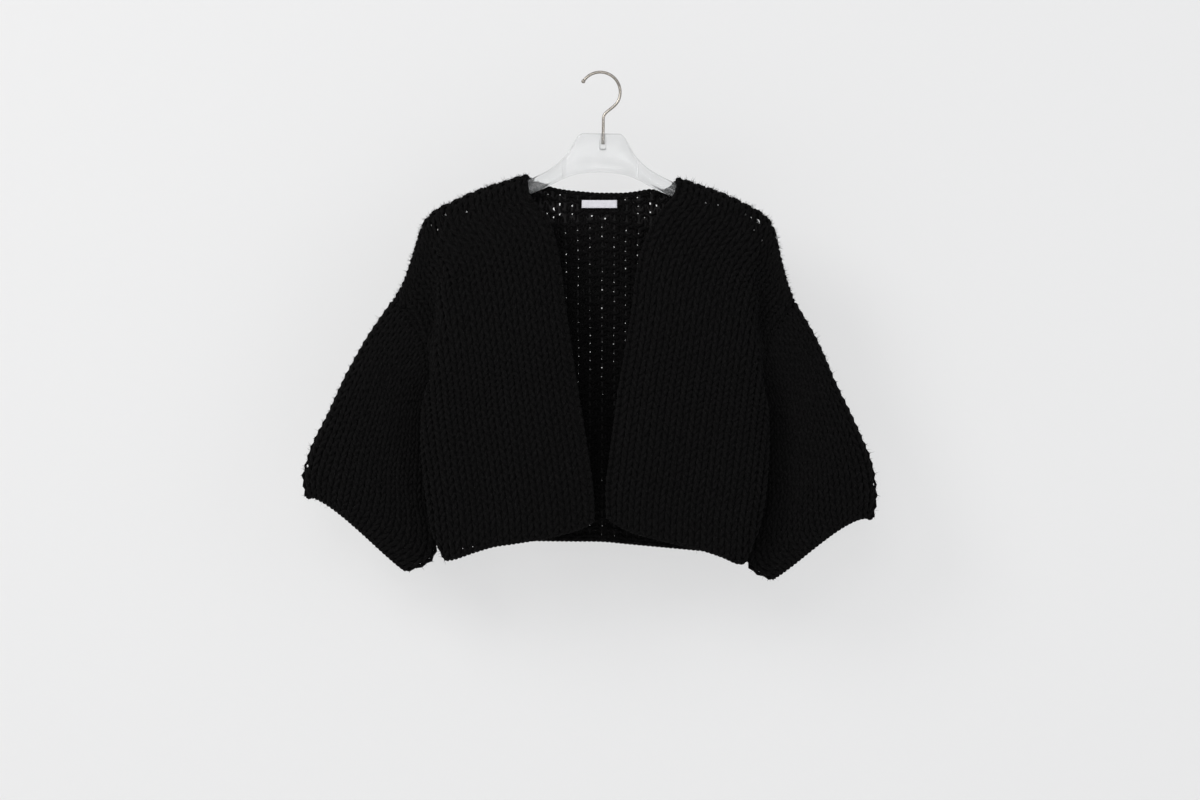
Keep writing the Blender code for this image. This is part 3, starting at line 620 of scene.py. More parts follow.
def lay_stitches(grid, stitches, centred):
    """Where each quarter of a stitch lies across each line of a cloth, as shares of the way across.
    They are counted from the cloth's first edge, or from the upright through the hook to both sides."""
    table = []
    for line in grid:
        run = lengths(line)
        start = np.interp(0, line[:, 0], run) - stitches / 2 * STITCH_WIDTH if centred else 0.0
        quarters = start + np.arange(4 * stitches + 1) / 4 * STITCH_WIDTH
        table.append(np.interp(quarters, run, np.linspace(0, 1, len(run))))
    return np.array(table)


def knitted(
    name, grid, facing, courses, stitches, underarm,
    closed=False, centred=False, yarn=YARN_RADIUS, spread=0, slack=(),
):
    """A cloth on a grid of points. facing is 1 or minus 1, whichever turns its normals to the knit side,
    and underarm is the point where it is pressed most."""
    down = np.gradient(grid, axis=0)
    across = np.gradient(grid, axis=1)
    if closed:
        across[:, 0] = across[:, -1] = grid[:, 1] - grid[:, -2]
    normal = unit(np.cross(across, down) * facing)
    lay = None if closed else lay_stitches(grid, stitches, centred)
    slack = [*SLACK_STITCHES, *slack]
    return Cloth(name, grid, normal, courses, stitches, closed, lay, underarm, yarn, spread, slack)


def between(table, across, down):
    """Reads a table of numbers or of points at places between its lines and columns."""
    down = np.clip(down, 0, table.shape[0] - 1)
    i = np.minimum(across.astype(int), table.shape[1] - 2)
    j = np.minimum(down.astype(int), table.shape[0] - 2)
    s, t = across - i, down - j
    if table.ndim == 3:
        s, t = s[..., None], t[..., None]
    upper = table[j, i] * (1 - s) + table[j, i + 1] * s
    lower = table[j + 1, i] * (1 - s) + table[j + 1, i + 1] * s
    return upper * (1 - t) + lower * t


# Where in a stitch its first leg lies. A round cloth starts there, so that its fold runs along a leg
LEG_SHARE = 0.25


def share_across(cloth, wale, course):
    """Share of the way across a cloth, for a place counted in stitches on a course."""
    if cloth.closed:
        return (wale + LEG_SHARE) / cloth.stitches % 1.0
    line = course / cloth.courses * (len(cloth.lay) - 1)
    return between(cloth.lay, np.clip(4 * wale, 0, 4 * cloth.stitches), line)


def on_cloth(cloth, wale, course, out=0.0):
    """Points on a cloth and its normals there, at places counted in stitches and courses.
    out moves the points out from its middle."""
    across = share_across(cloth, wale, course) * (cloth.grid.shape[1] - 1)
    down = course / cloth.courses * (cloth.grid.shape[0] - 1)
    facing = unit(between(cloth.normal, across, down))
    return between(cloth.grid, across, down) + facing * np.asarray(out)[..., None], facing


# Stitches, in shares of a stitch or a course
LOOP_SWING = 0.25
LOOP_REACH = 0.97
LOOP_DEPTH = 2.5 * MM
LOOP_STEPS = 12
YARN_SIDES = 6
EDGE_SHARE = 0.35
# At the underarm: the share of its depth and of its thickness that the yarn keeps, and how far that reaches
PRESSED_DEPTH = 0.35
PRESSED_YARN = 0.55
UNDERARM_REACH = 50 * MM
chance = np.random.default_rng(11)


def pressed(cloth, points):
    """1 in the open cloth, and less towards the underarm, where body and sleeve crowd each other."""
    distance = np.linalg.norm(points - cloth.underarm, axis=-1)
    return PRESSED_DEPTH + (1 - PRESSED_DEPTH) * np.clip(distance / UNDERARM_REACH, 0, 1)


def drawn_aside(line, slack, thickness):
    """Leads a strand round the slack stitches wherever it passes one, and leaves the rest in place."""
    line = np.array(line)
    run = lengths(line)
    steps = np.arange(len(line))
    fine = np.linspace(0, len(line) - 1, 8 * len(line))
    for stitch in slack:
        clear = stitch.hole * MM + thickness
        away = seen(line) - np.array([stitch.x, stitch.z]) * MM
        if np.linalg.norm(away, axis=1).min() > SLACK_REACH:
            continue
        away = read_along(fine, steps, away)
        distance = np.linalg.norm(away, axis=1)
        before, here, after = distance[:-2], distance[1:-1], distance[2:]
        for k in np.nonzero((here <= before) & (here < after) & (here < clear))[0] + 1:
            past = away[k + 1] - away[k - 1]
            aside = unit(np.array([-past[1], past[0]]))
            aside *= math.copysign(clear - distance[k], aside @ away[k])
            fade = np.clip(1 - ((run - np.interp(fine[k], steps, run)) / SLACK_REACH) ** 2, 0, 1) ** 2
            line[:, [0, 2]] += np.outer(fade, aside)
    return line


def tightened(points, slack):
    """Share of its thickness that the yarn keeps: less where a slack stitch draws its neighbours tight."""
    keep = np.ones(len(points))
    for stitch in slack:
        distance = np.linalg.norm(seen(points) - np.array([stitch.x, stitch.z]) * MM, axis=1)
        near = np.clip(1.6 - (distance - stitch.hole * MM) / TIGHT_FADE, 0, 1)
        keep = np.minimum(keep, 1 - TIGHT * near)
    return keep


# How much of its radius a strand keeps clear of a slack stitch
ASIDE_SHARE = 0.62


def loop_place(cloth, course, along, jitter):
    """Where a course's yarn runs. along counts stitches, and each is a loop with its head up and behind."""
    turn = 4 * math.pi * along
    wale = along + LOOP_SWING * np.sin(turn) + cloth.spread * np.sin(turn / 2)
    wale += np.interp(along, jitter.at, jitter.across)
    reach_up = LOOP_REACH + np.interp(along, jitter.at, jitter.reach)
    row = course + 0.5 + reach_up * np.cos(turn / 2) + np.interp(along, jitter.at, jitter.row)
    row = np.clip(row, EDGE_SHARE, cloth.courses - EDGE_SHARE)
    press = pressed(cloth, on_cloth(cloth, wale, row)[0])
    points, facing = on_cloth(cloth, wale, row, -LOOP_DEPTH * np.cos(turn) * press)
    size = cloth.yarn * (1 + np.interp(along, jitter.at, jitter.size))
    size *= PRESSED_YARN + (1 - PRESSED_YARN) * press
    size *= tightened(points, cloth.slack)
    return drawn_aside(points, cloth.slack, ASIDE_SHARE * cloth.yarn), facing, size


# How far the stitches of a course stray, drawn anew at each half stitch: no two pull up alike
Jitter = namedtuple("Jitter", "at across row reach size")
STRAY = Jitter(at=0.5, across=0.018, row=0.035, reach=0.03, size=0.045)


def uneven(first, last):
    at = np.arange(first, last + 1, STRAY.at)
    return Jitter(at, *(chance.normal(0, stray, len(at)) for stray in STRAY[1:]))


def course_span(cloth, course):
    """First and last stitch of a course, where it ends on its seams."""
    if cloth.closed:
        return 0, cloth.stitches
    wales = np.arange(0, cloth.stitches + 0.01, 0.25)
    share = share_across(cloth, wales, np.full(len(wales), course + 0.5))
    inside = wales[(share > 0.001) & (share < 0.999)]
    return inside[0], inside[-1]


def label_strands(data, around, along):
    """Lays the twist's coordinates on the yarn: once around it, and in metres along it."""
    layer = data.uv_layers.new(name="strand")
    corner = np.empty(len(data.loops), dtype=int)
    data.loops.foreach_get("vertex_index", corner)
    u, v = around[corner].copy(), along[corner]
    size = np.empty(len(data.polygons), dtype=int)
    first = np.empty(len(data.polygons), dtype=int)
    data.polygons.foreach_get("loop_total", size)
    data.polygons.foreach_get("loop_start", first)
    quads = first[size == 4]
    for corners in (quads + 1, quads + 2):
        u[corners] = np.where(u[corners] < 1e-6, 1.0, u[corners])
    layer.data.foreach_set("uv", np.stack([u, v], axis=1).ravel())


def strand_frame(line, facing):
    """Unit vectors at each point of a strand: along it, to its side, and out of the cloth."""
    along = unit(np.gradient(line, axis=0))
    side = unit(np.cross(along, facing))
    return along, side, np.cross(side, along)


def yarn_piece(name, strands, finish):
    """One piece of several strands. Each has its rings of points, and how far along it they are."""
    faces, start = [], 0
    for rings, run in strands:
        faces += [tuple(start + v for v in face) for face in tube_faces(len(run), YARN_SIDES)]
        start += len(rings)
    made = piece_from(name, np.concatenate([rings for rings, _ in strands]), faces, finish)
    along = np.concatenate([run for _, run in strands])
    around = np.tile(np.arange(YARN_SIDES) / YARN_SIDES, len(along))
    label_strands(made.data, around, np.repeat(along, YARN_SIDES))
    return made


# What the loose fibres need to know of a strand: its points, their directions and its radius there
Track = namedtuple("Track", "line side up size along facing")


def knit(cloth, finish):
    """The yarn of a cloth: one strand for each course, worked into loops."""
    strands, tracks = [], []
    for course in range(cloth.courses):
        first, last = course_span(cloth, course)
        at = np.linspace(first, last, max(2, round((last - first) * LOOP_STEPS)) + 1)
        line, facing, size = loop_place(cloth, course, at, uneven(math.floor(first), math.ceil(last)))
        along, side, up = strand_frame(line, facing)
        strands.append((rings_round(line, side, up, size, YARN_SIDES), lengths(line)))
        tracks.append(Track(line, side, up, size, along, facing))
    return yarn_piece("yarn_" + cloth.name, strands, finish), tracks


def worked_out(finish, operation, *values):
    """Result of a Math node in a finish. Its values are numbers or the outputs of other nodes."""
    made = finish.node_tree.nodes.new("ShaderNodeMath")
    made.operation = operation
    for socket, value in zip(made.inputs, values):
        if isinstance(value, (int, float)):
            socket.default_value = value
        else:
            finish.node_tree.links.new(value, socket)
    return made.outputs["Value"]


# Brushed black yarn: nearly black wool blend of two soft plies, with a matt surface and a faint grey bloom
PLIES = 2
TWIST_PITCH = 11 * MM
black_yarn = new_finish(
    "brushed_black_yarn", Roughness=0.95, Specular_IOR_Level=0.02, Sheen_Weight=0.012, Sheen_Roughness=0.5
)
yarn_mottle = noise_in(black_yarn, 420, detail=5)
tinted(black_yarn, yarn_mottle, (0.0021, 0.0020, 0.0020), (0.0070, 0.0067, 0.0067), stops=(0.32, 0.72))
strand = add_node(black_yarn, "ShaderNodeUVMap")
strand.uv_map = "strand"
parts = add_node(black_yarn, "ShaderNodeSeparateXYZ")
black_yarn.node_tree.links.new(strand.outputs["UV"], parts.inputs["Vector"])
spiral = worked_out(black_yarn, "MULTIPLY", parts.outputs["X"], PLIES * 2 * math.pi)
twist = worked_out(black_yarn, "MULTIPLY_ADD", parts.outputs["Y"], 2 * math.pi / TWIST_PITCH, spiral)
ply = worked_out(black_yarn, "SINE", twist)
ruffled = noise_in(black_yarn, 1100, detail=6, roughness=0.7)
fibres = worked_out(black_yarn, "MULTIPLY_ADD", ply, 0.35, ruffled)
bump_into(black_yarn, fibres, 0.8, 0.9 * MM)


def felted(name, dark, light):
    """Finish of the thin felt between the loops, which closes most of the gaps in the knit. Its colours are
    given lighter than the yarn's: painted light that makes up for the shade in the gaps.
    """
    made = new_finish(name, Roughness=1.0, Specular_IOR_Level=0.01)
    tinted(made, noise_in(made, 900, detail=4), dark, light)
    bump_into(made, noise_in(made, 1500, detail=4), 0.6, 0.5 * MM)
    return made


# The felt of the fronts and sleeves is a little lighter than the yarn: painted light that makes up for the
# shade in the gaps between the loops.
black_haze_painted_fill = felted("felted_haze_painted_fill", (0.0040, 0.0039, 0.0039), (0.0080, 0.0077, 0.0077))

# How far below the middle of a felt cell its gap lies, and how much that strays, as shares of the cell.
# The least gap that stays open, and the least width of a cell that is made
GAP_BELOW = 0.12
GAP_STRAY = 0.03
LEAST_GAP = 0.3 * MM
LEAST_CELL = 0.5 * MM


def slack_in(cell, slack):
    """The slack stitches in a cell of the felt: each one's place, as shares of the cell's width
    and height, and its gap."""
    a, b, c, d = seen(cell)
    across, down = (b - a + c - d) / 2, (d - a + c - b) / 2
    table = np.stack([across, down], axis=1)
    found = []
    if abs(np.linalg.det(table)) > 0.02 * STITCH_WIDTH * STITCH_HEIGHT:
        for stitch in slack:
            share = np.linalg.solve(table, np.array([stitch.x, stitch.z]) * MM - a)
            if 0 <= share.min() and share.max() < 1:
                found.append((share, stitch.hole * MM))
    return found


def in_cell(cell, p, q):
    a, b, c, d = cell
    return (a * (1 - p) + b * p) * (1 - q) + (d * (1 - p) + c * p) * q


def pierced(cell, middle, radius, flat, faces):
    """Adds a cell of felt with a six-sided gap, or a plain cell where the gap would be too small to see."""
    a, b, c, d = cell
    wide = min(0.45, radius / max(np.linalg.norm(b - a + c - d) / 2, MM))
    high = min(0.45, radius / max(np.linalg.norm(d - a + c - b) / 2, MM))
    start = len(flat)
    flat += [a, b, c, d]
    ring = [start, start + 1, start + 2, start + 3]
    if radius < LEAST_GAP:
        faces.append(tuple(ring))
        return
    p0 = np.clip(middle[0], wide + 0.02, 0.98 - wide)
    q0 = np.clip(middle[1], high + 0.02, 0.98 - high)
    for u, v in ((-0.87, -0.5), (0, -1), (0.87, -0.5), (0.87, 0.5), (0, 1), (-0.87, 0.5)):
        flat.append(in_cell(cell, p0 + u * wide, q0 + v * high))
    g = [start + 4 + k for k in range(6)]
    faces += [
        (ring[0], ring[1], g[2], g[1], g[0]),
        (ring[1], ring[2], g[3], g[2]),
        (ring[2], ring[3], g[5], g[4], g[3]),
        (ring[3], ring[0], g[0], g[5]),
    ]


def haze(cloth, finish, open_gaps=None, out=0.0):
    """The thin felt that the yarn's fibres make in the middle of a cloth.
    open_gaps gives the radius of the gap in a stitch of each course, where there are gaps."""
    flat, faces = [], []
    wales = np.arange(cloth.stitches) + 0.5
    if cloth.closed:
        wales = np.append(wales, wales[0] + cloth.stitches)
    else:
        wales = np.concatenate([[0.0], wales, [float(cloth.stitches)]])
    rows = np.concatenate([[EDGE_SHARE], np.arange(1, cloth.courses) + 0.5])
    rows[-1] = cloth.courses - EDGE_SHARE
    net = [on_cloth(cloth, wales, np.full(len(wales), row), out)[0] for row in rows]
    for j in range(len(rows) - 1):
        for i in range(len(wales) - 1):
            cell = [net[j][i], net[j][i + 1], net[j + 1][i + 1], net[j + 1][i]]
            if min(np.linalg.norm(cell[1] - cell[0]), np.linalg.norm(cell[2] - cell[3])) < LEAST_CELL:
                continue
            radius = open_gaps((rows[j] + rows[j + 1]) / 2) if open_gaps else 0.0
            middle = np.array([0.5, 0.5 + GAP_BELOW]) + chance.normal(0, GAP_STRAY, 2)
            if not slack_in(cell, cloth.slack):
                pierced(cell, middle, radius, flat, faces)
                continue
            for p, q in ((0, 0), (0.5, 0), (0, 0.5), (0.5, 0.5)):
                corners = ((0, 0), (0.5, 0), (0.5, 0.5), (0, 0.5))
                quarter = [in_cell(cell, p + u, q + v) for u, v in corners]
                slack = slack_in(quarter, cloth.slack) or [(middle, 0.0)]
                pierced(quarter, *slack[0], flat, faces)
    return piece_from("haze_" + cloth.name, flat, faces, finish, smooth=False)


# Loose fibres that stand off the yarn
FIBRE_RADIUS = 0.26 * MM
FIBRE_LENGTH = 4.2 * MM
LONGEST_FIBRE = 9 * MM
# Where in the yarn a fibre is rooted, as a share of its radius, how far it leans from straight out,
# and how many stand where the cloth is seen from its face, against 1 where it is seen from its edge
FIBRE_ROOT = 0.85
FIBRE_LEAN = 0.55
FIBRES_FACE_ON = 0.25
black_fibre = new_finish("loose_black_fibre", Roughness=0.8, Specular_IOR_Level=0.04)
tinted(black_fibre, noise_in(black_fibre, 300), (0.003, 0.003, 0.0031), (0.010, 0.0098, 0.0098))


def fuzz(name, tracks, count):
    """Fibres brushed out of yarn: fine three-sided hairs that end in a point. More stand where
    the cloth is seen from its edge."""
    line, side, up, size, along, facing = (np.concatenate(column) for column in zip(*tracks))
    edgewise = FIBRES_FACE_ON + np.clip(1 - np.abs(facing[:, 1]), 0, 1) ** 2
    pick = chance.choice(len(line), count, p=edgewise / edgewise.sum())
    turn = chance.uniform(0, 2 * math.pi, count)
    away = np.cos(turn)[:, None] * side[pick] + np.sin(turn)[:, None] * up[pick]
    root = line[pick] + away * (size[pick] * FIBRE_ROOT)[:, None]
    toward = unit(away + chance.normal(0, FIBRE_LEAN, (count, 3)))
    hair = np.minimum(FIBRE_LENGTH * chance.gamma(4.0, 0.25, count), LONGEST_FIBRE)
    beside = unit(np.cross(toward, along[pick]))
    across = np.cross(toward, beside)
    points = np.empty((count, 4, 3))
    for k in range(3):
        angle = 2 * math.pi * k / 3
        points[:, k] = root + (math.cos(angle) * beside + math.sin(angle) * across) * FIBRE_RADIUS
    points[:, 3] = root + toward * hair[:, None]
    one = [(0, 1, 3), (1, 2, 3), (2, 0, 3), (2, 1, 0)]
    faces = [tuple(4 * n + v for v in face) for n in range(count) for face in one]
    return piece_from("fuzz_" + name, points.reshape(-1, 3), faces, black_fibre)


# A cord's plies, in shares of its radius: how thick each is, and how far it lies from the cord's middle.
# And how much of its radius a cord keeps clear of a slack stitch
PLY_RADIUS = 0.62
PLY_OFFSET = 0.52
CORD_ASIDE = 0.8


def cord_of_yarn(name, line, facing, radius, pitch, swell=0.0):
    """Two plies of yarn laid round each other along a line, for bound edges and seams.
    swell is how much the cord thickens over each stitch that it joins."""
    run = lengths(line)
    at = np.linspace(0, run[-1], max(4, int(run[-1] / pitch * 8)) + 1)
    centre = drawn_aside(read_along(at, run, line), SLACK_STITCHES, CORD_ASIDE * radius)
    normal = read_along(at, run, facing)
    along, side, up = strand_frame(centre, normal)
    turns = max(1, round(run[-1] / pitch))
    thick = radius * (1 + swell * np.cos(2 * math.pi * at / STITCH_WIDTH + np.sin(at * 40)))
    strands = []
    for ply in range(PLIES):
        angle = 2 * math.pi * (at / run[-1] * turns + ply / PLIES)
        beside = np.cos(angle)[:, None] * side + np.sin(angle)[:, None] * up
        ply_line = centre + PLY_OFFSET * thick[:, None] * beside
        strands.append((round_tube(ply_line, PLY_RADIUS * thick, YARN_SIDES, up + 0.001), at))
    track = Track(centre, side, up, np.full(len(at), radius), along, normal)
    return yarn_piece(name, strands, black_yarn), track


def along_course(cloth, row, first=0.0, last=None, steps=160):
    """A line along a course of a cloth, and the normals there."""
    wale = np.linspace(first, cloth.stitches if last is None else last, steps)
    if cloth.closed:
        wale = np.concatenate([wale[:-1], wale[:1]])
    return on_cloth(cloth, wale, np.full(len(wale), float(row)))


def along_wale(cloth, wale, first, last):
    """A line down a column of stitches, and the normals there."""
    row = np.linspace(first, last, 200)
    return on_cloth(cloth, np.full(len(row), float(wale)), row)


# The bound edges, and how far inside the last course or the first column they lie, in courses and stitches
BIND_RADIUS = 3.1 * MM
BIND_PITCH = 12 * MM
BIND_INSIDE = 0.24
FREE_EDGE_RADIUS = 2.4 * MM
FREE_EDGE_INSIDE = 0.14
FUZZ_ON_FRONT = 18000
# How far the felt of the fronts and sleeves lies towards their knit side
FELT_OUT = 0.3 * MM

front_left_grid = front_surface(FRONT_LEFT, NECK_LEFT_X, DROP_LEFT, TROUGHS_LEFT, DIPS_LEFT)
front_right_grid = front_surface(FRONT_RIGHT, NECK_RIGHT_X, DROP_RIGHT, TROUGHS_RIGHT, DIPS_RIGHT)
UNDERARM = int(round(ARMHOLE_SHARE * (len(DOWN) - 1)))
underarm_left = front_left_grid[UNDERARM, -1]
underarm_right = front_right_grid[UNDERARM, -1]
cloth_left = knitted("front_left", front_left_grid, 1, COURSES, FRONT_STITCHES, underarm_left)
cloth_right = knitted("front_right", front_right_grid, -1, COURSES, FRONT_STITCHES, underarm_right)


def finish_front(cloth):
    """Knits a front, and binds its hem and its free edge."""
    yarn, tracks = knit(cloth, black_yarn)
    felt = haze(cloth, black_haze_painted_fill, out=FELT_OUT)
    hairs = fuzz(cloth.name, tracks, FUZZ_ON_FRONT)
    hem_line = along_course(cloth, cloth.courses - BIND_INSIDE, 0.1)
    hem, _ = cord_of_yarn("hem_" + cloth.name, *hem_line, BIND_RADIUS, BIND_PITCH)
    edge_line = along_wale(cloth, FREE_EDGE_INSIDE, 0.2, cloth.courses - 0.2)
    edge, _ = cord_of_yarn("edge_" + cloth.name, *edge_line, FREE_EDGE_RADIUS, BIND_PITCH)
    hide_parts(cloth.name)


finish_front(cloth_left)
finish_front(cloth_right)


# Back: one knitted panel, wide at the drop shoulders and narrow in the body, with a shallow free neck edge.
# Its purl side, with bars instead of columns, faces the wearer and shows in the front opening.

# In millimetres: the fold behind the sleeve, the middle of the back, and how far behind the hanger each lies
BackRow = namedtuple("BackRow", "share left_x left_z right_x right_z middle_z fold_depth plane_depth")
BACK = [
    BackRow(0.12, -224, -262, 208, -266, -211, 17, 18),
    BackRow(0.25, -214, -322, 198, -326, -270, 20, 21),
    BackRow(0.36, -210, -376, 195, -380, -322, 22, 23),
    BackRow(0.40, -199, -400, 184, -404, -338, 23, 24),
    BackRow(0.60, -191, -466, 174, -471, -428, 23, 26),
    BackRow(0.80, -189, -535, 173, -541, -517, 23, 26),
    BackRow(1.00, -173, -606.5, 160, -623.5, -609, 22, 24),
]
BACK_ARMHOLE_DEPTH = {0.12: 12, 0.25: 17, 0.36: 19}
# The back's free neck edge, from the left to the right, where it dips before it climbs to the shoulder
NeckPoint = namedtuple("NeckPoint", "x depth z")
BACK_NECK = [
    NeckPoint(-88, 13, -136.5),
    NeckPoint(-68, 14.5, -146.0),
    NeckPoint(-47, 14.5, -150.5),
    NeckPoint(-24, 14, -153.0),
    NeckPoint(0, 14, -154.7),
    NeckPoint(24, 14, -154.7),
    NeckPoint(46, 14.5, -152.3),
    NeckPoint(64, 14.5, -149.3),
    NeckPoint(78, 14.5, -151.5),
    NeckPoint(89, 13, -145.5),
]
NECK_MIDDLE = 4
BACK_STITCHES = 44
NECK_STEPS = 48
FUZZ_ON_BACK = 16000
BACK_YARN_RADIUS = 2.3 * MM
# The neck edge reaches this far to each side, and stands this much of a course below the first one
NECK_HALF_WIDTH = 105 * MM
NECK_EDGE_ROW = 0.2
NECK_EDGE_RADIUS = 2.6 * MM
# Gaps of light show in the courses between these two, apart from a few stitches, and grow tiny below
FIRST_OPEN_COURSE = 4
LAST_OPEN_COURSE = 20
CLOSED_SHARE = 0.12
OPEN_GAPS = [0.4, 0.5, 0.6, 0.75, 0.95]
TINY_GAP = 0.38


def back_section(row, left, right):
    """One course of the back, from the left seam to the right seam."""
    fold, plane = row.fold_depth * MM, row.plane_depth * MM
    left_fold = np.array([row.left_x * MM, fold, row.left_z * MM])
    right_fold = np.array([row.right_x * MM, fold, row.right_z * MM])
    middle = np.array([0, plane, row.middle_z * MM])
    points = [left_fold]
    points += [left_fold + (middle - left_fold) * share for share in (0.2, 0.5, 0.8)]
    points += [middle]
    points += [middle + (right_fold - middle) * share for share in (0.2, 0.5, 0.8)]
    points += [right_fold]
    for point in points[1:-1]:
        point[1] = plane
    return np.array([left] + points + [right])


def back_surface(front_left, front_right):
    """Middle of the back's cloth: a grid from neck to hem and from left seam to right seam."""
    left_line = shoulder_line(NECK_LEFT_X, DROP_LEFT, FRONT_STEPS)
    right_line = shoulder_line(NECK_RIGHT_X, DROP_RIGHT, FRONT_STEPS)
    neck = [(p.x * MM, p.depth * MM, p.z * MM) for p in BACK_NECK]
    neck = [tuple(left_line[0])] + neck + [tuple(right_line[0])]
    along = lengths(np.array(neck))
    fine_neck = through(along, neck, np.linspace(0, along[-1], NECK_STEPS + 1))
    top = np.concatenate([left_line[::-1], fine_neck[1:-1], right_line])
    cuts = lengths(top) / lengths(top)[-1]
    cap = np.clip(1 - top[:, 1] / SHOULDER_BEND, 0, 1)
    base_top = top.copy()
    base_top[:, 1] = np.maximum(top[:, 1], SHOULDER_BEND)
    base_top[[0, -1], 1] = 0.5 * SHOULDER_BEND
    sections = [base_top]
    for row in BACK:
        seams = []
        for front in (front_left, front_right):
            seam = through(DOWN, front[:, -1], np.array([row.share]))[0]
            if row.share in BACK_ARMHOLE_DEPTH:
                seam[1] = BACK_ARMHOLE_DEPTH[row.share] * MM
            seams.append(seam)
        sections.append(spaced(back_section(row, *seams), cuts))
    shares = [0.0] + [row.share for row in BACK]
    grid = rounded_over(top, lambda at: loft(shares, sections, at), cap)
    grid[UNDERARM:, 0] = front_left[UNDERARM:, -1]
    grid[UNDERARM:, -1] = front_right[UNDERARM:, -1]
    return grid


# The felt on the purl side is lighter still: painted light that makes up for the shade that the fronts cast
# on the back's inside.
purl_haze_painted_fill = felted("purl_haze_painted_fill", (0.0095, 0.0092, 0.0092), (0.0190, 0.0184, 0.0184))

# Stitches of the back neck that are pulled open
NECK_SLACK = [
    Slack(-63.8, -175, 2.2), Slack(-55.8, -169.4, 2.0), Slack(-71.4, -181.2, 0.9), Slack(-55.8, -181.6, 1.9),
    Slack(-63.6, -186, 1.2), Slack(-70.2, -156.4, 0.5), Slack(-54.5, -157, 0.7), Slack(-38.6, -171.2, 1.15),
    Slack(-38.6, -182, 0.8), Slack(-13.2, -184.4, 1.1), Slack(4, -188, 1.1), Slack(63.2, -168.2, 1.5),
    Slack(71.6, -171.2, 1.7), Slack(63.2, -179.8, 1.0), Slack(47.2, -181.6, 1.0), Slack(55.8, -186.8, 0.9),
    Slack(46, -161.2, 0.7), Slack(30, -163, 0.6), Slack(47, -172, 0.5),
]


def back_gaps(course):
    """Radius of a gap in the back: a small hole of light in most stitches of its upper half."""
    if course < FIRST_OPEN_COURSE or chance.random() < CLOSED_SHARE:
        return 0.0
    if course > LAST_OPEN_COURSE:
        return chance.uniform(0, TINY_GAP) * MM
    return chance.choice(OPEN_GAPS) * MM


back_grid = back_surface(front_left_grid, front_right_grid)
cloth_back = knitted(
    "back", back_grid, 1, COURSES, BACK_STITCHES, underarm_left,
    centred=True, yarn=BACK_YARN_RADIUS, spread=0.04, slack=NECK_SLACK,
)
back_yarn, back_tracks = knit(cloth_back, black_yarn)
back_felt = haze(cloth_back, purl_haze_painted_fill, back_gaps)
back_hairs = fuzz("back", back_tracks, FUZZ_ON_BACK)
hem_line = along_course(cloth_back, COURSES - BIND_INSIDE)
back_hem, _ = cord_of_yarn("hem_back", *hem_line, BIND_RADIUS, BIND_PITCH)
neck_wales = BACK_STITCHES / 2 + np.array([-1, 1]) * NECK_HALF_WIDTH / STITCH_WIDTH
neck_line = along_course(cloth_back, NECK_EDGE_ROW, *neck_wales)
back_neck, _ = cord_of_yarn("edge_back_neck", *neck_line, NECK_EDGE_RADIUS, BIND_PITCH)
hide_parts("back")


# Sleeves: two knitted balloon sleeves, set in a straight armhole and drawn in at the elbow by a firm
# cuff edge. They hang flat, a little in front of the body's side, with their columns square to the cuff.

# In millimetres: each row is a course round the arm, with its outer and inner point as seen from the front,
# half its thickness near each of them, and how far the course bows up between them, most by the outer one
SleeveRow = namedtuple("SleeveRow", "share outer_x outer_z inner_x inner_z outer_half inner_half rise")
SLEEVE_LEFT = [
    SleeveRow(0.20, -302, -343, -231, -452, 16, 9, 0),
    SleeveRow(0.40, -330, -393, -229, -505, 19, 10, 0),
    SleeveRow(0.60, -353.5, -443, -229, -557, 21, 11, 1),
    SleeveRow(0.80, -378, -494, -218, -606, 21, 12, 4),
    SleeveRow(0.90, -386, -523, -225, -631, 19, 13, 9),
    SleeveRow(1.00, -382, -553, -259, -645, 15, 13, 16),
]
SLEEVE_RIGHT = [
    SleeveRow(0.20, 277.5, -349, 214, -458, 16, 9, 0),
    SleeveRow(0.40, 301, -403, 212, -512, 19, 10, 0),
    SleeveRow(0.60, 328, -459, 210, -565, 21, 11, 2),
    SleeveRow(0.80, 350, -516, 191, -617, 21, 12, 6),
    SleeveRow(0.90, 354, -549, 195, -641, 19, 13, 12),
    SleeveRow(1.00, 349, -581, 225, -656, 15, 13, 19),
]
SLEEVE_MIDDLE_DEPTH = 7 * MM
SLEEVE_FLATNESS = 0.8
SLEEVE_COURSES = 24
SLEEVE_STITCHES = 24
SLEEVE_HALF_STEPS = 2 * SLEEVE_STITCHES
FUZZ_ON_SLEEVE = 12500


def sleeve_ring(row, cuts):
    """One course round a sleeve, from its top by the front to the underarm and back up behind."""
    outer = np.array([row.outer_x, 0, row.outer_z]) * MM
    inner = np.array([row.inner_x, 0, row.inner_z]) * MM
    along = inner - outer
    up = np.array([-along[2], 0, along[0]]) / np.linalg.norm(along)
    up *= math.copysign(1, up[2])
    turn = np.linspace(0, 2 * math.pi, 161)
    across = (1 - np.cos(turn)) / 2
    swell = np.sign(np.sin(turn)) * np.abs(np.sin(turn)) ** SLEEVE_FLATNESS
    half = (row.outer_half + (row.inner_half - row.outer_half) * across) * MM
    bow = row.rise * MM * np.abs(np.sin(turn)) * (1 - across)
    ring = outer + across[:, None] * along + bow[:, None] * up
    ring[:, 1] = SLEEVE_MIDDLE_DEPTH - half * swell
    front = spaced(ring[:81:8], cuts)
    behind = spaced(ring[80::8], cuts)
    return np.concatenate([front, behind[1:]])


def sleeve_surface(rows, front_edge, back_edge):
    """Middle of a sleeve's cloth: closed rings from the armhole, edge for edge with the body, to the cuff."""
    cuts = np.linspace(0, 1, SLEEVE_HALF_STEPS + 1)
    halves = []
    for edge in (front_edge, back_edge[::-1]):
        run = lengths(edge)
        halves.append(read_along(cuts, run / run[-1], edge))
    armhole = np.concatenate([halves[0], halves[1][1:]])
    sections = [armhole] + [sleeve_ring(row, cuts) for row in rows]
    grid = loft([0.0] + [row.share for row in rows], sections, np.linspace(0, 1, 4 * SLEEVE_COURSES + 1))
    grid[:, -1] = grid[:, 0]
    return grid


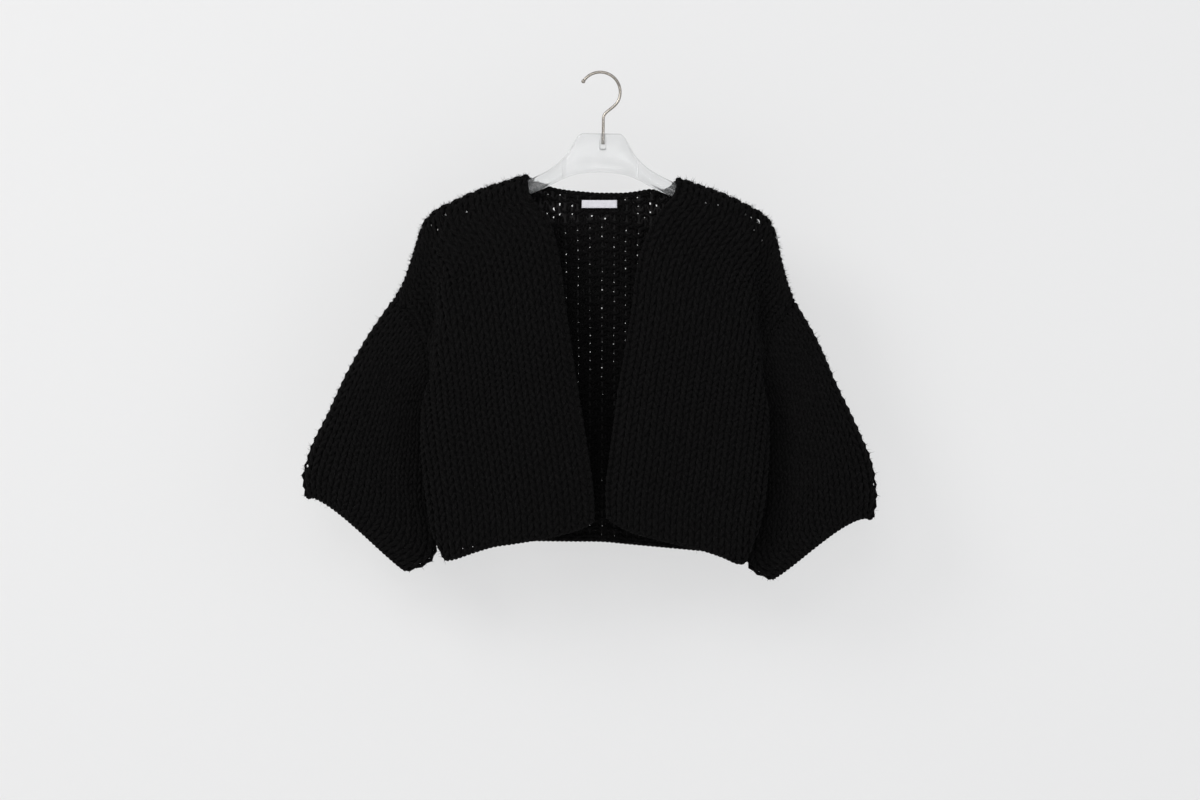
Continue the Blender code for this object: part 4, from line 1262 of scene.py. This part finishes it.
def finish_sleeve(name, grid, facing, underarm):
    """Knits a sleeve and draws its cuff in with a firm edge."""
    cloth = knitted(name, grid, facing, SLEEVE_COURSES, SLEEVE_STITCHES, underarm, closed=True)
    yarn, tracks = knit(cloth, black_yarn)
    felt = haze(cloth, black_haze_painted_fill, out=FELT_OUT)
    hairs = fuzz(name, tracks, FUZZ_ON_SLEEVE)
    cuff_line = along_course(cloth, SLEEVE_COURSES - BIND_INSIDE)
    cuff, _ = cord_of_yarn("cuff_" + name, *cuff_line, BIND_RADIUS, BIND_PITCH)
    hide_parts(name)


left_armhole = (front_left_grid[: UNDERARM + 1, -1], back_grid[: UNDERARM + 1, 0])
right_armhole = (front_right_grid[: UNDERARM + 1, -1], back_grid[: UNDERARM + 1, -1])
finish_sleeve("sleeve_left", sleeve_surface(SLEEVE_LEFT, *left_armhole), -1, underarm_left)
finish_sleeve("sleeve_right", sleeve_surface(SLEEVE_RIGHT, *right_armhole), 1, underarm_right)


# Seams: the panels are joined edge to edge with the same yarn, at the shoulders, round the armholes
# and down the sides. The joining strand is drawn in below the loops.

SEAM_RADIUS = 3.1 * MM
SEAM_PITCH = 9 * MM
FUZZ_ON_SHOULDER = 1500

for side, cloth, armhole in (("left", cloth_left, left_armhole), ("right", cloth_right, right_armhole)):
    shoulder_seam = along_course(cloth, 0.0, steps=140)
    _, track = cord_of_yarn(
        "seam_shoulder_" + side, *shoulder_seam, 0.95 * SEAM_RADIUS, SEAM_PITCH, swell=0.3
    )
    fuzz("shoulder_" + side, [track], FUZZ_ON_SHOULDER)
    ring = np.concatenate([armhole[0], armhole[1][::-1]])
    cord_of_yarn("seam_armhole_" + side, ring, ring - ring.mean(axis=0), SEAM_RADIUS, SEAM_PITCH, swell=0.1)
    side_seam = along_wale(cloth, cloth.stitches, UNDERARM / 4, COURSES - 0.3)
    cord_of_yarn("seam_side_" + side, *side_seam, SEAM_RADIUS, SEAM_PITCH)


# Label: a blank woven satin ribbon, folded under at both ends and caught down there with a few white
# stitches. It is sewn to the inner face of the back, just below the neck edge.

LABEL_WIDTH = 46 * MM
LABEL_HEIGHT = 10.2 * MM
LABEL_THICKNESS = 0.8 * MM
LABEL_MIDDLE_X = -3.4 * MM
LABEL_TOP = 8.9 * MM
LABEL_FOLD = 4.5 * MM
LABEL_COLUMNS = 36
LABEL_ROWS = 10
# How far in front of the cloth the ribbon lies, how much it bulges, and how much its folded ends add
LABEL_CLEAR = 1.1 * MM
LABEL_BULGE = 0.5 * MM
FOLD_ADDS = 0.25 * MM
# The stitches at each end of the ribbon, and how far in front of the cloth they lie. Each arches a little
THREAD_STITCHES = 5
THREAD_RADIUS = 0.22 * MM
THREAD_FROM_END = 1.6 * MM
THREAD_CLEAR = 1.75 * MM
THREAD_HALF_LENGTH = 0.95 * MM
THREAD_ARCH = 0.35 * MM
THREAD_POINTS = 7
THREAD_SIDES = 6
# How many lines of the back's grid can lie behind the label
LABEL_LOOKS_DOWN = 24

white_ribbon = new_finish("white_satin_ribbon", Roughness=0.5, Sheen_Weight=0.15)
tinted(white_ribbon, noise_in(white_ribbon, 260), (0.54, 0.53, 0.56), (0.62, 0.61, 0.64))
ribbon_place = white_ribbon.node_tree.nodes.new("ShaderNodeTexCoord")
weave = add_node(white_ribbon, "ShaderNodeTexWave", Scale=900.0, Distortion=0.4)
weave.bands_direction = "Z"
white_ribbon.node_tree.links.new(ribbon_place.outputs["Object"], weave.inputs["Vector"])
bump_into(white_ribbon, weave.outputs["Fac"], 0.35, 0.12 * MM)


def behind_at(x, z):
    """Depth of the back's middle at a point of its neck."""
    courses = back_grid[:LABEL_LOOKS_DOWN]
    course_z = np.array([np.interp(x, course[:, 0], course[:, 2]) for course in courses])
    course_y = np.array([np.interp(x, course[:, 0], course[:, 1]) for course in courses])
    return np.interp(-z, -course_z, course_y)


label_top = BACK_NECK[NECK_MIDDLE].z * MM - LABEL_TOP


def ribbon_face(turn):
    """Points of one face of the ribbon, row by row. turn is minus 1 for the face that shows, and 1 behind."""
    points = []
    for row in range(LABEL_ROWS + 1):
        for column in range(LABEL_COLUMNS + 1):
            across = column / LABEL_COLUMNS
            x = LABEL_MIDDLE_X + (across - 0.5) * LABEL_WIDTH
            z = label_top - row / LABEL_ROWS * LABEL_HEIGHT
            bulge = math.sin(math.pi * across) ** 0.6 * math.sin(math.pi * row / LABEL_ROWS * 0.8)
            folded = min(across, 1 - across) * LABEL_WIDTH < LABEL_FOLD
            half = LABEL_THICKNESS / 4 + folded * FOLD_ADDS
            y = behind_at(x, z) - CLOTH_WALL / 2 - LABEL_CLEAR - LABEL_BULGE * bulge
            points.append((x, y + turn * half, z))
    return points


wide = LABEL_COLUMNS + 1
behind = wide * (LABEL_ROWS + 1)
label_faces = []
for row in range(LABEL_ROWS):
    for column in range(LABEL_COLUMNS):
        a = row * wide + column
        b, c, d = a + 1, a + wide + 1, a + wide
        label_faces += [(a, d, c, b), (behind + a, behind + b, behind + c, behind + d)]
rim = list(range(wide))
rim += [row * wide + LABEL_COLUMNS for row in range(1, LABEL_ROWS + 1)]
rim += [LABEL_ROWS * wide + column for column in range(LABEL_COLUMNS - 1, -1, -1)]
rim += [row * wide for row in range(LABEL_ROWS - 1, 0, -1)]
label_faces += [(a, b, behind + b, behind + a) for a, b in zip(rim, rim[1:] + rim[:1])]
label_points = ribbon_face(-1) + ribbon_face(1)
label = piece_from("woven_label", label_points, label_faces, white_ribbon)
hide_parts("neck_label")

thread_points, thread_faces = [], []
bow = np.linspace(-1, 1, THREAD_POINTS)
for end in (-1, 1):
    for stitch in range(THREAD_STITCHES):
        z = label_top - (stitch + 0.5) / THREAD_STITCHES * LABEL_HEIGHT
        x = LABEL_MIDDLE_X + end * (LABEL_WIDTH / 2 - THREAD_FROM_END)
        y = behind_at(x, z) - CLOTH_WALL / 2 - THREAD_CLEAR
        line = np.stack([x + 0 * bow, y + THREAD_ARCH * bow**4, z + THREAD_HALF_LENGTH * bow], axis=1)
        start = len(thread_points)
        radii = np.full(THREAD_POINTS, THREAD_RADIUS)
        thread_points += list(round_tube(line, radii, THREAD_SIDES, np.array([1.0, 0.0, 0.0])))
        tube = tube_faces(THREAD_POINTS, THREAD_SIDES)
        thread_faces += [tuple(start + v for v in face) for face in tube]
thread = piece_from("label_stitches", thread_points, thread_faces, white_ribbon)


# Studio: a camera straight in front, a pale backdrop and floor, and soft light from the upper left.
# The backdrop glows a little, so that it stays pale and even, and from behind it isn't seen.

camera_data = bpy.data.cameras.new("camera")
camera_data.lens = CAMERA_LENS
camera_data.sensor_width = CAMERA_SENSOR
camera = bpy.data.objects.new("camera", camera_data)
bpy.context.scene.collection.objects.link(camera)
camera.location = EYE
camera.rotation_euler = (math.radians(90), 0, 0)
bpy.context.scene.camera = camera

FLOOR = -1.25
BACKDROP_BEHIND = 0.16
BACKDROP_HALF_WIDTH = 3
BACKDROP_TOP = 1.6
FLOOR_REACH = 9

backdrop_finish = new_finish(
    "pale_backdrop",
    Roughness=0.95,
    Base_Color=(0.22, 0.22, 0.22, 1),
    Emission_Color=(1, 1, 1, 1),
    Emission_Strength=0.57,
    Specular_IOR_Level=0.1,
)
geometry = add_node(backdrop_finish, "ShaderNodeNewGeometry")
unseen = add_node(backdrop_finish, "ShaderNodeBsdfTransparent")
one_sided = add_node(backdrop_finish, "ShaderNodeMixShader")
backdrop_nodes = backdrop_finish.node_tree
link = backdrop_nodes.links.new
link(geometry.outputs["Backfacing"], one_sided.inputs[0])
link(shader_of(backdrop_finish).outputs["BSDF"], one_sided.inputs[1])
link(unseen.outputs["BSDF"], one_sided.inputs[2])
link(one_sided.outputs["Shader"], backdrop_nodes.nodes["Material Output"].inputs["Surface"])
floor_finish = new_finish("pale_floor", Roughness=0.8, Base_Color=(0.80, 0.80, 0.80, 1))


def stage_sheet(name, corners, finish):
    """A flat sheet of the studio, which isn't part of the garment."""
    made = mesh_object(name, corners, [(0, 1, 2, 3)])
    made.data.materials.append(finish)


backdrop_corners = [
    (side * BACKDROP_HALF_WIDTH, BACKDROP_BEHIND, height)
    for side, height in ((-1, FLOOR), (1, FLOOR), (1, BACKDROP_TOP), (-1, BACKDROP_TOP))
]
stage_sheet("backdrop", backdrop_corners, backdrop_finish)
floor_corners = [(x * FLOOR_REACH, y * FLOOR_REACH, FLOOR) for x, y in ((-1, -1), (1, -1), (1, 1), (-1, 1))]
stage_sheet("floor", floor_corners, floor_finish)

bpy.context.scene.view_settings.view_transform = "Standard"
world = bpy.data.worlds.new("studio")
world.use_nodes = True
set_sockets(world.node_tree.nodes["Background"], {"Color": (0.93, 0.95, 1.0, 1), "Strength": 0.58})
bpy.context.scene.world = world


def soft_light(name, place, aim, size, power, colour=(1.0, 1.0, 1.0)):
    """A round lamp of a width in metres and a power in watts, turned to what it lights."""
    data = bpy.data.lights.new(name, "AREA")
    data.shape = "DISK"
    data.size = size
    data.energy = power
    data.color = colour
    made = bpy.data.objects.new(name, data)
    bpy.context.scene.collection.objects.link(made)
    made.location = place
    toward = np.array(aim) - np.array(place)
    yaw = math.atan2(toward[1], toward[0]) - math.pi / 2
    pitch = math.atan2(toward[2], math.hypot(toward[0], toward[1]))
    made.rotation_euler = (math.pi / 2 + pitch, 0, yaw)


middle_of_garment = (0, 0, -0.4)
soft_light("window", (-2.2, -2.4, 1.3), middle_of_garment, 1.6, 62, (1.0, 0.99, 0.97))
soft_light("fill", (2.6, -2.2, 0.2), middle_of_garment, 2.2, 18, (0.96, 0.98, 1.0))
soft_light("front", (-0.5, -4.4, 1.6), middle_of_garment, 2.0, 42)
soft_light("from_behind", (1.8, 3.0, 1.0), middle_of_garment, 2.0, 20)
# Two small lamps whose reflections lie on the hanger's arms
soft_light("glint_right", (0.27, -4.6, 0.18), (0.1, 0, -0.16), 0.35, 6)
soft_light("glint_left", (-0.27, -4.6, 0.18), (-0.1, 0, -0.16), 0.35, 2)
